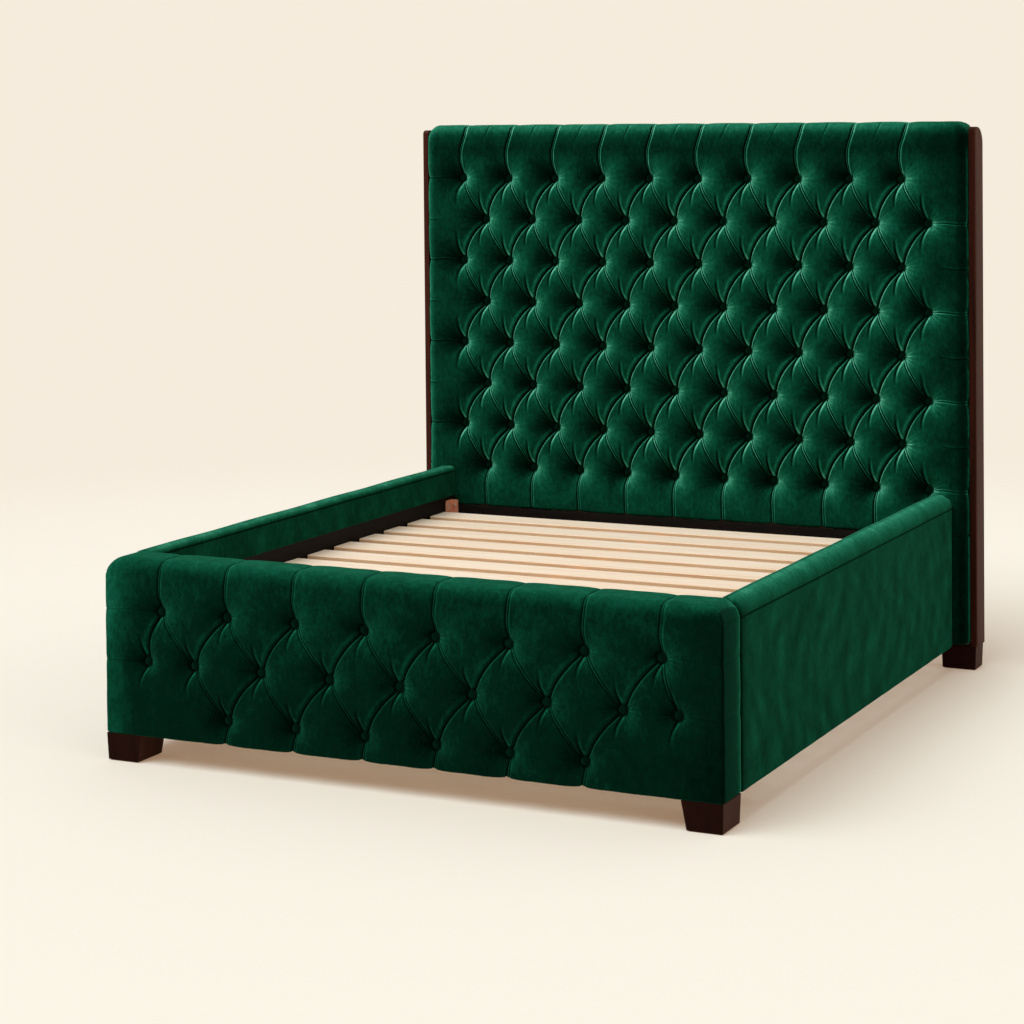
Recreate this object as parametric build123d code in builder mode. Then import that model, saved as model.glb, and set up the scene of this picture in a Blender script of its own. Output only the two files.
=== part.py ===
from build123d import *
import math
import os

# An upholstered double bed frame: a tall tufted headboard between two wood posts, padded side
# rails, a tufted footboard, a slatted base on a centre beam, and four square feet.
# Millimetres. X runs across the bed, +Y towards the head end, +Z up.
# The origin is on the floor, in the middle of the bed's footprint.

# Whole bed
bed_width = 1950.0
headboard_overhang = 75.0
headboard_height = 1860.0
well_length = 2010.0
well_depth = 164.0
underside_height = 82.0
rail_top_height = 604.0

# Tufting
tuft_depth = 42.0
foam_behind_tufts = 13.0
button_radius = 12.0
button_height = 9.0
button_clearance = 1.5

# Headboard upholstery
headboard_corner_radius = 55.0
headboard_wrap = 12.0
leg_pad_lift = 8.0
headboard_side_margin = 144.2
headboard_first_row_drop = 196.0
headboard_last_row_rise = 149.0
headboard_columns = 10
headboard_rows = 8

# Headboard frame
headboard_panel_thickness = 12.0
headboard_frame_depth = 45.0
headboard_stile_width = 60.0
headboard_batten_height = 60.0
headboard_middle_batten_height = 900.0
headboard_back_thickness = 3.0
packing_block_width = 100.0
packing_block_spread = 1200.0
headboard_bolt_radius = 6.0
headboard_bolt_head_radius = 11.0
headboard_bolt_head_height = 8.0

# Headboard posts
post_thickness = 22.0
post_depth = 100.0
post_setback = 28.0
post_top_drop = 19.0
post_rear_radius = 60.0
post_front_radius = 14.0
post_edge_round = 6.0
post_bead_width = 13.0
post_quirk = 2.0

# Footboard upholstery
footboard_depth = 140.0
footboard_tuft_depth = 32.0
footboard_foam = 14.0
footboard_skin = 14.0
footboard_lip = 4.0
footboard_corner_radius = 58.0
footboard_rear_round = 18.0
footboard_side_margin = 184.0
footboard_end_margin = 137.0
footboard_first_row_drop = 154.0
footboard_last_row_rise = 68.0
footboard_columns = 8

# Footboard frame
footboard_panel_thickness = 12.0
footboard_board_thickness = 18.0
footboard_block_width = 120.0
footboard_batten_height = 45.0

# Side rails
rail_thickness = 65.0
rail_foam = 20.0
rail_lip = 4.0
rail_top_wrap = 16.0
rail_outer_round = 45.0
rail_inner_round = 12.0
bare_board_drop = 96.0
rail_seam_drop = 52.0
rail_seam_width = 5.0
rail_seam_depth = 3.0

# Slatted base
slat_count = 11
slat_width = 115.0
slat_thickness = 20.0
slat_edge_ease = 2.5
slat_end_gap = 3.0
ledger_width = 34.0
ledger_height = 40.0
cross_board_thickness = 30.0
cross_board_height = 150.0
cross_board_stand = 16.0
beam_width = 45.0
beam_height = 90.0
hanger_thickness = 3.0
hanger_depth = 30.0
leg_width = 45.0
leg_count = 3

# Corner brackets and fixings
bracket_thickness = 3.0
bracket_reach = 48.0
bracket_face = 28.0
bracket_rise = 38.0
bracket_drop = 46.0
bracket_ledger_gap = 2.0
screw_head_radius = 4.5
screw_head_height = 2.4
screws_per_ledger = 6
foot_bolt_radius = 5.0
foot_bolt_in_foot = 40.0
foot_bolt_in_frame = 30.0
bolt_clearance = 0.25

# Feet
felt_thickness = 3.0
felt_inset = 5.0
front_foot_width = 120.0
front_foot_depth = 130.0
front_foot_inner_taper = 14.0
front_foot_outer_taper = 3.0
front_foot_inset = 3.0
head_foot_width = 120.0
head_foot_inset = 5.0
head_foot_taper = 3.0

# Gap that keeps a cut-to-fit piece clear of the piece beside it
seat_gap = 0.3

# How a stuffed cell draws in towards its crown: share of its outline, share of its rise
draw_in_shares = (0.985, 0.93, 0.79, 0.48)
rise_shares = (0.0, 0.46, 0.82, 1.0)
# How a covered button or a screw head domes: share of its radius, share of its height
dome_radius_shares = (1.0, 1.0, 0.6)
dome_height_shares = (0.0, 0.45, 1.0)
button_sides = 8
screw_head_sides = 6

# Places across the bed
half_bed = bed_width / 2
half_well = half_bed - rail_thickness
half_headboard = half_bed + headboard_overhang
half_pad = half_headboard - post_thickness - seat_gap
half_headboard_frame = half_pad - headboard_wrap
half_footboard_frame = half_bed - footboard_skin
rail_board_outer = half_bed - rail_foam
rail_board_inner = half_well + rail_lip

# Places along the bed
headboard_depth = post_setback + post_depth
overall_length = footboard_depth + well_length + headboard_depth
y_foot = -overall_length / 2
y_foot_crease = y_foot + footboard_tuft_depth
y_foot_panel = y_foot_crease + footboard_foam
y_foot_block = y_foot_panel + footboard_panel_thickness
y_well_foot = y_foot + footboard_depth
y_inner_board = y_well_foot - footboard_lip
y_head = y_well_foot + well_length
y_cross_board = y_head - cross_board_thickness
y_head_crease = y_head + tuft_depth
y_head_panel = y_head_crease + foam_behind_tufts
y_head_frame = y_head_panel + headboard_panel_thickness
y_back_cover = y_head_frame + headboard_frame_depth
y_post = y_head + post_setback
y_back = y_post + post_depth

# Heights
headboard_frame_top = headboard_height - headboard_wrap
footboard_frame_top = rail_top_height - footboard_skin
bare_board_height = rail_top_height - bare_board_drop
slat_top_height = rail_top_height - well_depth
slat_underside = slat_top_height - slat_thickness
beam_underside = slat_underside - beam_height
headboard_visible_bottom = slat_top_height + cross_board_stand


def wall_plane(y):
    """The upright plane at y, facing the foot end, with x and z as its own axes."""
    return Plane.XZ.offset(-y)


def block_between(low, high):
    """A plain block from its low corner to its high corner."""
    with BuildPart() as block:
        with BuildSketch(Plane.XY.offset(low[2])):
            with Locations(((low[0] + high[0]) / 2, (low[1] + high[1]) / 2)):
                Rectangle(high[0] - low[0], high[1] - low[1])
        extrude(amount=high[2] - low[2])
    return block.part


def bored_block(low, high, bore_at, bore_depth):
    """A block with a blind bolt hole in its underside."""
    with BuildPart() as block:
        add(block_between(low, high))
        with BuildSketch(Plane.XY.offset(low[2])):
            with Locations(bore_at):
                Circle(foot_bolt_radius + bolt_clearance)
        extrude(amount=bore_depth + bolt_clearance, mode=Mode.SUBTRACT)
    return block.part


def mirrored(part):
    """The other side's twin of a piece."""
    with BuildPart() as twin:
        mirror(part, about=Plane.YZ)
    return twin.part


def save(name, part):
    """Label a finished piece and write it out under its own name."""
    part.label = name
    export_step(part, f"parts/{name}.step")


def save_pair(name, right_part, pattern="{side}_{name}"):
    """Write a right-hand piece and its left-hand twin."""
    save(pattern.format(side="right", name=name), right_part)
    save(pattern.format(side="left", name=name), mirrored(right_part))


# Tufted faces


def trimmed_corner(before, corner, after):
    """Two points that cut a cell's corner off, so that the button there sits clear of it."""
    to_before = (Vector(*before) - Vector(*corner)).normalized()
    to_after = (Vector(*after) - Vector(*corner)).normalized()
    half_angle = to_before.get_angle(to_after) / 2
    reach = (button_radius + button_clearance) / math.cos(math.radians(half_angle))
    return [Vector(*corner) + to_before * reach, Vector(*corner) + to_after * reach]


def cell_outline(corners, buttons):
    """The outline of one stuffed cell, with the corners that hold a button trimmed."""
    outline = []
    for index, corner in enumerate(corners):
        before = corners[index - 1]
        after = corners[(index + 1) % len(corners)]
        if corner in buttons:
            outline += trimmed_corner(before, corner, after)
        else:
            outline.append(Vector(*corner))
    return outline


def stuffed_cell(corners, buttons, crease_y, rise):
    """One stuffed cell of a tufted face: its outline drawn in, layer by layer, to its crown."""
    outline = cell_outline(corners, buttons)
    centre = sum(outline, Vector(0, 0)) / len(outline)
    skin = []
    for draw_in, rise_share in zip(draw_in_shares, rise_shares):
        for point in outline:
            drawn = centre + (point - centre) * draw_in
            skin.append((drawn.X, drawn.Y, rise * rise_share))
    with BuildPart(wall_plane(crease_y)) as cell:
        ConvexPolyhedron(skin)
    return cell.part


def domed_heads(planes, radius, height, sides):
    """Domed discs, one on each plane, with their flat backs on it."""
    dome = []
    for radius_share, height_share in zip(dome_radius_shares, dome_height_shares):
        for side in range(sides):
            angle = 2 * math.pi * side / sides
            reach = radius * radius_share
            dome.append((reach * math.cos(angle), reach * math.sin(angle), height * height_share))
    with BuildPart() as heads:
        with Locations(*planes):
            ConvexPolyhedron(dome)
    return heads.part


def make_buttons(rows, crease_y):
    """Covered buttons, seated on the crease plane of a tufted face."""
    planes = []
    for row in rows:
        for x, z in row:
            planes.append(Plane(origin=(x, crease_y, z), x_dir=(1, 0, 0), z_dir=(0, -1, 0)))
    return domed_heads(planes, button_radius, button_height, button_sides)


# Headboard


def headboard_button_rows():
    """Rows of button places from the top down; odd rows shift left, even rows right."""
    column_pitch = 2 * (half_pad - headboard_side_margin) / (headboard_columns - 1 / 2)
    first_z = headboard_height - headboard_first_row_drop
    last_z = headboard_visible_bottom + headboard_last_row_rise
    row_pitch = (first_z - last_z) / (headboard_rows - 1)
    rows = []
    for row in range(headboard_rows):
        shift = 0 if row % 2 == 0 else column_pitch / 2
        start = -half_pad + headboard_side_margin + shift
        z = first_z - row * row_pitch
        rows.append([(start + column * column_pitch, z) for column in range(headboard_columns)])
    return rows


def headboard_end_cells(rows):
    """The tall cells above the first row and below the last, each reaching to the next row."""
    top = headboard_height
    bottom = headboard_visible_bottom
    first, second = rows[0], rows[1]
    last, above = rows[-1], rows[-2]
    cells = []
    for k in range(headboard_columns - 1):
        cells.append([(first[k][0], top), first[k], second[k], first[k + 1], (first[k + 1][0], top)])
        cells.append([(last[k][0], bottom), (last[k + 1][0], bottom), last[k + 1], above[k + 1], last[k]])
    return cells


def headboard_diamond_cells(rows):
    """The diamonds between four buttons of three rows."""
    cells = []
    for r in range(1, headboard_rows - 1):
        for k in range(headboard_columns - 1):
            middle = k if r % 2 == 0 else k + 1
            cells.append([rows[r - 1][middle], rows[r][k], rows[r + 1][middle], rows[r][k + 1]])
    return cells


def headboard_side_cells(rows):
    """The cells that run out to the left and right edges, where every second row ends in a pleat."""
    cells = []
    for r in range(0, headboard_rows - 2, 2):
        upper, middle, lower = rows[r][0], rows[r + 1][0], rows[r + 2][0]
        cells.append([(-half_pad, upper[1]), (-half_pad, lower[1]), lower, middle, upper])
        upper, middle, lower = rows[r + 1][-1], rows[r + 2][-1], rows[r + 3][-1]
        cells.append([upper, middle, lower, (half_pad, lower[1]), (half_pad, upper[1])])
    return cells


def headboard_corner_cells(rows):
    """The four corner cells; the upper two are cut back inside the rounded corners."""
    edge = half_pad
    top = headboard_height
    bottom = headboard_visible_bottom
    cut = headboard_corner_radius * (2 - math.sqrt(2))
    top_left, top_right = rows[0][0], rows[0][-1]
    next_right, next_left = rows[1][-1], rows[-2][0]
    bottom_left, bottom_right = rows[-1][0], rows[-1][-1]
    return [
        [(-edge, top - cut), (-edge, top_left[1]), top_left, (top_left[0], top), (-edge + cut, top)],
        [
            (top_right[0], top),
            top_right,
            next_right,
            (edge, next_right[1]),
            (edge, top - cut),
            (edge - cut, top),
        ],
        [(-edge, bottom), (bottom_left[0], bottom), bottom_left, next_left, (-edge, next_left[1])],
        [(bottom_right[0], bottom), (edge, bottom), (edge, bottom_right[1]), bottom_right],
    ]


def rounded_board(half_width, low, high, corner_radius, y, depth):
    """A board that stands across the bed, with its two top corners rounded."""
    with BuildPart() as board:
        with BuildSketch(wall_plane(y)):
            with Locations((0, (low + high) / 2)):
                Rectangle(2 * half_width, high - low)
            fillet(vertices().group_by(Axis.Y)[-1], corner_radius)
        extrude(amount=-depth)
    return board.part


def make_headboard_pad():
    """The tufted pad: stuffed cells on a foam slab, and a wrap over the top and sides of the frame."""
    rows = headboard_button_rows()
    buttons = [place for row in rows for place in row]
    cells = headboard_end_cells(rows) + headboard_diamond_cells(rows) + headboard_side_cells(rows)
    cells += headboard_corner_cells(rows)
    stuffed = [stuffed_cell(corners, buttons, y_head_crease, tuft_depth) for corners in cells]
    wrap_depth = headboard_panel_thickness + headboard_frame_depth + headboard_back_thickness
    with BuildPart() as pad:
        add(rounded_board(
            half_pad,
            headboard_visible_bottom,
            headboard_height,
            headboard_corner_radius,
            y_head_crease,
            foam_behind_tufts + wrap_depth,
        ))
        # The room for the frame, open at the bottom and at the back
        add(
            rounded_board(
                half_headboard_frame,
                headboard_visible_bottom,
                headboard_frame_top,
                headboard_corner_radius - headboard_wrap,
                y_head_panel,
                wrap_depth,
            ),
            mode=Mode.SUBTRACT,
        )
        add(stuffed)
    return pad.part


def make_leg_pad():
    """The right padded strip that runs down from the pad between the rail's end and the post."""
    low, high = underside_height + leg_pad_lift, headboard_visible_bottom
    inner, outer = rail_board_inner, half_pad
    corners = [(inner, low), (outer, low), (outer, high), (inner, high)]
    with BuildPart() as strip:
        add(block_between((inner, y_head_crease, low), (outer, y_head_panel, high)))
        add(block_between(
            (half_headboard_frame, y_head_crease, low),
            (outer, y_back_cover + headboard_back_thickness, high),
        ))
        add(stuffed_cell(corners, [], y_head_crease, tuft_depth))
    return strip.part


def make_post():
    """The right wood post: a board on edge with a rounded top and a bead down its front edge."""
    with BuildPart() as post:
        with BuildSketch(Plane.YZ.offset(half_headboard - post_thickness)):
            with BuildLine():
                top = headboard_height - post_top_drop
                Polyline(
                    (y_post, underside_height),
                    (y_back, underside_height),
                    (y_back, top),
                    (y_post, top),
                    close=True,
                )
            make_face()
            fillet(vertices().group_by(Axis.Y)[-1].sort_by(Axis.X)[0], post_front_radius)
            fillet(vertices().group_by(Axis.Y)[-1].sort_by(Axis.X)[-1], post_rear_radius)
        extrude(amount=post_thickness)
        outer = faces().sort_by(Axis.X)[-1].edges()
        fillet(outer.sort_by(Axis.Z)[1:], post_edge_round)
        # The quirk behind the bead
        with BuildSketch(Plane.XY.offset(underside_height)):
            with Locations((half_headboard, y_post + post_bead_width)):
                Rectangle(2 * post_quirk, post_quirk)
        extrude(amount=headboard_height, mode=Mode.SUBTRACT)
    return post.part


def make_headboard_stile():
    """The right outer stile, rounded at the top where the wrap turns, bored for the foot bolt."""
    with BuildPart() as stile:
        add(rounded_board(
            half_headboard_frame,
            underside_height,
            headboard_frame_top,
            headboard_corner_radius - headboard_wrap,
            y_head_frame,
            headboard_frame_depth,
        ))
        add(
            block_between(
                (-half_headboard, y_head_frame, underside_height),
                (half_headboard_frame - headboard_stile_width, y_back_cover, headboard_height),
            ),
            mode=Mode.SUBTRACT,
        )
        with BuildSketch(Plane.XY.offset(underside_height)):
            with Locations(head_bolt_place()):
                Circle(foot_bolt_radius + bolt_clearance)
        extrude(amount=foot_bolt_in_frame + bolt_clearance, mode=Mode.SUBTRACT)
    return stile.part


def headboard_batten(low_z):
    """A batten between the two outer stiles."""
    half_length = half_headboard_frame - headboard_stile_width
    return block_between(
        (-half_length, y_head_frame, low_z),
        (half_length, y_back_cover, low_z + headboard_batten_height),
    )


def make_centre_stiles():
    """The two short uprights that stand on the bottom and the middle batten."""
    half_width = headboard_stile_width / 2
    levels = [
        (underside_height + headboard_batten_height, headboard_middle_batten_height),
        (
            headboard_middle_batten_height + headboard_batten_height,
            headboard_frame_top - headboard_batten_height,
        ),
    ]
    with BuildPart() as stiles:
        for low_z, high_z in levels:
            add(block_between((-half_width, y_head_frame, low_z), (half_width, y_back_cover, high_z)))
    return stiles.part


def headboard_bolt_places():
    """The two bolt places on the head cross board, one in the middle of each packing block."""
    z = headboard_visible_bottom - cross_board_height / 2
    return [(-packing_block_spread / 2, z), (packing_block_spread / 2, z)]


def bored_for_headboard_bolts(part, y, depth):
    """A board of the given depth at y, with clearance holes for the headboard bolts."""
    with BuildPart() as bored:
        add(part)
        with BuildSketch(wall_plane(y)):
            with Locations(*headboard_bolt_places()):
                Circle(headboard_bolt_radius + bolt_clearance)
        extrude(amount=-depth, mode=Mode.SUBTRACT)
    return bored.part


def make_packing_blocks():
    """Two blocks that pack out the space between the head cross board and the headboard panel."""
    low_z = headboard_visible_bottom - cross_board_height
    depth = y_head_panel - y_head
    with BuildPart() as blocks:
        for middle, z in headboard_bolt_places():
            add(block_between(
                (middle - packing_block_width / 2, y_head, low_z),
                (middle + packing_block_width / 2, y_head_panel, headboard_visible_bottom - seat_gap),
            ))
    return bored_for_headboard_bolts(blocks.part, y_head, depth)


def make_headboard_panel():
    """The full-size panel behind the foam, bolted through to the head cross board."""
    panel = rounded_board(
        half_headboard_frame,
        underside_height,
        headboard_frame_top,
        headboard_corner_radius - headboard_wrap,
        y_head_panel,
        headboard_panel_thickness,
    )
    return bored_for_headboard_bolts(panel, y_head_panel, headboard_panel_thickness)


def make_headboard_bolts():
    """The bolts from the head cross board through the blocks and panel, each with its nut."""
    with BuildPart() as bolts:
        with BuildSketch(wall_plane(y_cross_board)):
            with Locations(*headboard_bolt_places()):
                Circle(headboard_bolt_radius)
        extrude(amount=-(y_head_frame - y_cross_board))
        for y, height in (
            (y_cross_board, headboard_bolt_head_height),
            (y_head_frame, -headboard_bolt_head_height),
        ):
            with BuildSketch(wall_plane(y)):
                with Locations(*headboard_bolt_places()):
                    RegularPolygon(headboard_bolt_head_radius, 6)
            extrude(amount=height)
    return bolts.part


# Footboard


def footboard_button_rows():
    """Three rows of button places; the middle row has an extra one drawn in at each end."""
    pitch = 2 * (half_bed - footboard_side_margin) / (footboard_columns - 1)
    first_z = rail_top_height - footboard_first_row_drop
    last_z = underside_height + footboard_last_row_rise
    middle_z = (first_z + last_z) / 2
    half_span = half_bed - footboard_side_margin
    end_x = half_bed - footboard_end_margin
    first = [(-half_span + k * pitch, first_z) for k in range(footboard_columns)]
    middle = [(-half_span + (k + 1 / 2) * pitch, middle_z) for k in range(footboard_columns - 1)]
    last = [(x, last_z) for x, z in first[1:-1]]
    return [first, [(-end_x, middle_z)] + middle + [(end_x, middle_z)], last]


def footboard_cells(rows):
    """The cell outlines of the footboard's front, from the row places and the edges."""
    first, middle, last = rows
    top = rail_top_height
    bottom = underside_height
    cells = []
    for k in range(footboard_columns - 1):
        cells.append([(first[k][0], top), first[k], middle[k + 1], first[k + 1], (first[k + 1][0], top)])
    for k in range(1, footboard_columns - 1):
        cells.append([first[k], middle[k], last[k - 1], middle[k + 1]])
    for k in range(footboard_columns - 3):
        cells.append([(last[k][0], bottom), (last[k + 1][0], bottom), last[k + 1], middle[k + 2], last[k]])
    return cells + footboard_end_cells(rows)


def footboard_end_cells(rows):
    """The cells at the right end, and their mirror images at the left."""
    first, middle, last = rows
    top = rail_top_height
    bottom = underside_height
    edge = half_bed
    cut = footboard_corner_radius * (2 - math.sqrt(2))
    upper, end, inner, lower = first[-1], middle[-1], middle[-2], last[-1]
    right = [
        [(upper[0], top), upper, (edge, upper[1]), (edge, top - cut), (edge - cut, top)],
        [upper, end, (edge, end[1]), (edge, upper[1])],
        [upper, inner, end],
        # The plain lower corner: two cells that lap below the end button
        [end, (inner[0], bottom), (edge, bottom), (edge, end[1])],
        [inner, lower, (lower[0], bottom), ((end[0] + edge) / 2, bottom), end],
    ]
    left = [[(-x, z) for x, z in cell] for cell in right]
    return right + left


def make_footboard_pad():
    """The footboard's padded cover: tufted in front, wrapped over the ends, top and inner lip."""
    rows = footboard_button_rows()
    buttons = [place for row in rows for place in row]
    stuffed = [
        stuffed_cell(corners, buttons, y_foot_crease, footboard_tuft_depth)
        for corners in footboard_cells(rows)
    ]
    with BuildPart() as pad:
        add(rounded_board(
            half_bed,
            underside_height,
            rail_top_height,
            footboard_corner_radius,
            y_foot_crease,
            y_well_foot - y_foot_crease,
        ))
        rear_top = faces().sort_by(Axis.Y)[-1].edges().sort_by(Axis.Z)[-3:]
        fillet(rear_top, footboard_rear_round)
        # The room for the frame, then the bare window below the inner lip
        add(
            rounded_board(
                half_footboard_frame,
                underside_height,
                footboard_frame_top,
                footboard_corner_radius - footboard_skin,
                y_foot_panel,
                y_inner_board - y_foot_panel,
            ),
            mode=Mode.SUBTRACT,
        )
        add(
            block_between(
                (-rail_board_inner, y_inner_board, underside_height),
                (rail_board_inner, y_well_foot, bare_board_height),
            ),
            mode=Mode.SUBTRACT,
        )
        add(stuffed)
    return pad.part


def footboard_board(y, depth):
    """A full-size board of the footboard's frame."""
    return rounded_board(
        half_footboard_frame,
        underside_height,
        footboard_frame_top,
        footboard_corner_radius - footboard_skin,
        y,
        depth,
    )


def make_footboard_block():
    """The right corner block between the two boards, bored for the foot bolt."""
    y_rear = y_inner_board - footboard_board_thickness
    top = footboard_frame_top - footboard_corner_radius
    return bored_block(
        (half_footboard_frame - footboard_block_width, y_foot_block, underside_height),
        (half_footboard_frame, y_rear, top),
        front_bolt_place(),
        foot_bolt_in_frame,
    )


def footboard_batten(low_z):
    """A batten between the two corner blocks."""
    half_length = half_footboard_frame - footboard_block_width
    y_rear = y_inner_board - footboard_board_thickness
    return block_between(
        (-half_length, y_foot_block, low_z),
        (half_length, y_rear, low_z + footboard_batten_height),
    )


# Side rails


def make_rail_board():
    """The right rail's timber board, whose inner face is left bare below the velvet lip."""
    return block_between(
        (rail_board_inner, y_well_foot + seat_gap, underside_height),
        (rail_board_outer, y_head - seat_gap, rail_top_height - rail_top_wrap),
    )


def make_rail_pad():
    """The right rail's padding: outer face, rounded top and inner lip, with one sewn seam."""
    board_top = rail_top_height - rail_top_wrap
    seam_z = rail_top_height - rail_seam_drop
    with BuildPart() as pad:
        with BuildSketch(wall_plane(y_head - seat_gap)):
            with BuildLine():
                Polyline(
                    (rail_board_outer, underside_height),
                    (half_bed, underside_height),
                    (half_bed, rail_top_height),
                    (half_well, rail_top_height),
                    (half_well, bare_board_height),
                    (rail_board_inner, bare_board_height),
                    (rail_board_inner, board_top),
                    (rail_board_outer, board_top),
                    close=True,
                )
            make_face()
            fillet(vertices().group_by(Axis.Y)[-1].sort_by(Axis.X)[-1], rail_outer_round)
            fillet(vertices().group_by(Axis.Y)[-1].sort_by(Axis.X)[0], rail_inner_round)
            with BuildLine():
                Polyline(
                    (half_bed, seam_z - rail_seam_width / 2),
                    (half_bed, seam_z + rail_seam_width / 2),
                    (half_bed - rail_seam_depth, seam_z),
                    close=True,
                )
            make_face(mode=Mode.SUBTRACT)
        extrude(amount=well_length - 2 * seat_gap)
    return pad.part


def bracket_ends():
    """The y of each bracketed corner, and the way its bracket reaches along the rail."""
    return {"foot": (y_inner_board, 1), "head": (y_cross_board, -1)}


def make_ledger():
    """The right ledger, which carries the slat ends between the corner brackets."""
    low_y = y_inner_board + bracket_reach + bracket_ledger_gap
    high_y = y_cross_board - bracket_reach - bracket_ledger_gap
    return block_between(
        (rail_board_inner - ledger_width, low_y, slat_underside - ledger_height),
        (rail_board_inner, high_y, slat_underside),
    )


def make_corner_bracket(corner_y, reach):
    """A steel angle in a right-hand corner: one leg on the rail board, one on the end board."""
    low_z = slat_top_height - bracket_drop
    high_z = slat_top_height + bracket_rise
    along = sorted((corner_y, corner_y + reach * bracket_reach))
    across = sorted((corner_y, corner_y + reach * bracket_thickness))
    with BuildPart() as bracket:
        add(block_between(
            (rail_board_inner - bracket_thickness, along[0], low_z), (rail_board_inner, along[1], high_z)
        ))
        add(block_between(
            (rail_board_inner - bracket_face, across[0], low_z), (rail_board_inner, across[1], high_z)
        ))
    return bracket.part


def make_bracket_screws():
    """Two screw heads on each leg of every corner bracket."""
    middle_z = slat_top_height + (bracket_rise - bracket_drop) / 2
    step = (bracket_rise + bracket_drop) / 4
    planes = []
    for corner_y, reach in bracket_ends().values():
        for side in (-1, 1):
            for z in (middle_z - step, middle_z + step):
                on_rail = (
                    side * (rail_board_inner - bracket_thickness),
                    corner_y + reach * (bracket_reach + bracket_thickness) / 2,
                    z,
                )
                on_end = (
                    side * (rail_board_inner - (bracket_face + bracket_thickness) / 2),
                    corner_y + reach * bracket_thickness,
                    z,
                )
                planes.append(Plane(origin=on_rail, x_dir=(0, 1, 0), z_dir=(-side, 0, 0)))
                planes.append(Plane(origin=on_end, x_dir=(1, 0, 0), z_dir=(0, reach, 0)))
    return domed_heads(planes, screw_head_radius, screw_head_height, screw_head_sides)


def make_ledger_screws():
    """The screw heads along the inner face of both ledgers."""
    low_y = y_inner_board + bracket_reach + bracket_ledger_gap
    length = y_cross_board - y_inner_board - 2 * (bracket_reach + bracket_ledger_gap)
    step = length / screws_per_ledger
    z = slat_underside - ledger_height / 2
    planes = []
    for side in (-1, 1):
        for index in range(screws_per_ledger):
            origin = (side * (rail_board_inner - ledger_width), low_y + (index + 1 / 2) * step, z)
            planes.append(Plane(origin=origin, x_dir=(0, 1, 0), z_dir=(-side, 0, 0)))
    return domed_heads(planes, screw_head_radius, screw_head_height, screw_head_sides)


# Slatted base


def slat_starts():
    """The foot-side edge of every slat: equal gaps between the inner board and the cross board."""
    gap = (y_cross_board - y_inner_board - slat_count * slat_width) / (slat_count + 1)
    return [y_inner_board + gap + index * (slat_width + gap) for index in range(slat_count)]


def make_slat(start_y):
    """One timber slat with eased edges."""
    half_length = rail_board_inner - slat_end_gap
    with BuildPart() as slat:
        with BuildSketch(Plane.YZ.offset(-half_length)):
            with Locations((start_y + slat_width / 2, slat_top_height - slat_thickness / 2)):
                Rectangle(slat_width, slat_thickness)
            chamfer(vertices(), slat_edge_ease)
        extrude(amount=2 * half_length)
    return slat.part


def make_cross_board():
    """The dark board across the head end, between the two rail boards."""
    board = block_between(
        (-rail_board_inner, y_cross_board, headboard_visible_bottom - cross_board_height),
        (rail_board_inner, y_head, headboard_visible_bottom),
    )
    return bored_for_headboard_bolts(board, y_cross_board, cross_board_thickness)


def make_beam():
    """The centre beam under the slats."""
    return block_between(
        (-beam_width / 2, y_inner_board + hanger_thickness, beam_underside),
        (beam_width / 2, y_cross_board - hanger_thickness, slat_underside),
    )


def make_hanger(board_y, reach):
    """A folded steel shoe on an end board, which holds one end of the beam."""
    outer = beam_width / 2 + hanger_thickness
    low, high = sorted((board_y, board_y + reach * hanger_depth))
    pocket_low, pocket_high = sorted((board_y + reach * hanger_thickness, board_y + reach * hanger_depth))
    with BuildPart() as hanger:
        add(block_between((-outer, low, beam_underside - hanger_thickness), (outer, high, slat_underside)))
        add(
            block_between(
                (-beam_width / 2, pocket_low, beam_underside),
                (beam_width / 2, pocket_high, slat_underside),
            ),
            mode=Mode.SUBTRACT,
        )
    return hanger.part


def leg_centres():
    """The y of each leg under the beam, evenly spread."""
    step = (y_cross_board - y_inner_board) / (leg_count + 1)
    return [y_inner_board + (index + 1) * step for index in range(leg_count)]


def make_leg(middle_y):
    """A square leg from the beam down to its felt pad."""
    half_width = leg_width / 2
    return block_between(
        (-half_width, middle_y - half_width, felt_thickness),
        (half_width, middle_y + half_width, beam_underside),
    )


# Feet


def front_foot_footprints():
    """The right front foot's top and bottom outlines, as (low x, high x, low y, high y)."""
    high_x = half_bed - front_foot_inset
    low_x = high_x - front_foot_width
    low_y = y_foot + front_foot_inset
    high_y = low_y + front_foot_depth
    inner, outer = front_foot_inner_taper, front_foot_outer_taper
    return (low_x, high_x, low_y, high_y), (low_x + inner, high_x - outer, low_y + outer, high_y - outer)


def head_foot_footprints():
    """The right head foot's top and bottom outlines, as (low x, high x, low y, high y)."""
    high_x = half_headboard - head_foot_inset
    low_x = high_x - head_foot_width
    low_y = y_post + head_foot_inset
    high_y = y_back - head_foot_inset
    taper = head_foot_taper
    return (low_x, high_x, low_y, high_y), (low_x + taper, high_x - taper, low_y + taper, high_y - taper)


def front_bolt_place():
    """Where the right front foot's bolt stands: in the middle of the corner block's depth."""
    top = front_foot_footprints()[0]
    y_rear = y_inner_board - footboard_board_thickness
    return ((top[0] + half_footboard_frame) / 2, (y_foot_block + y_rear) / 2)


def head_bolt_place():
    """Where the right head foot's bolt stands: in the middle of the outer stile."""
    return (half_headboard_frame - headboard_stile_width / 2, (y_head_frame + y_back_cover) / 2)


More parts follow.
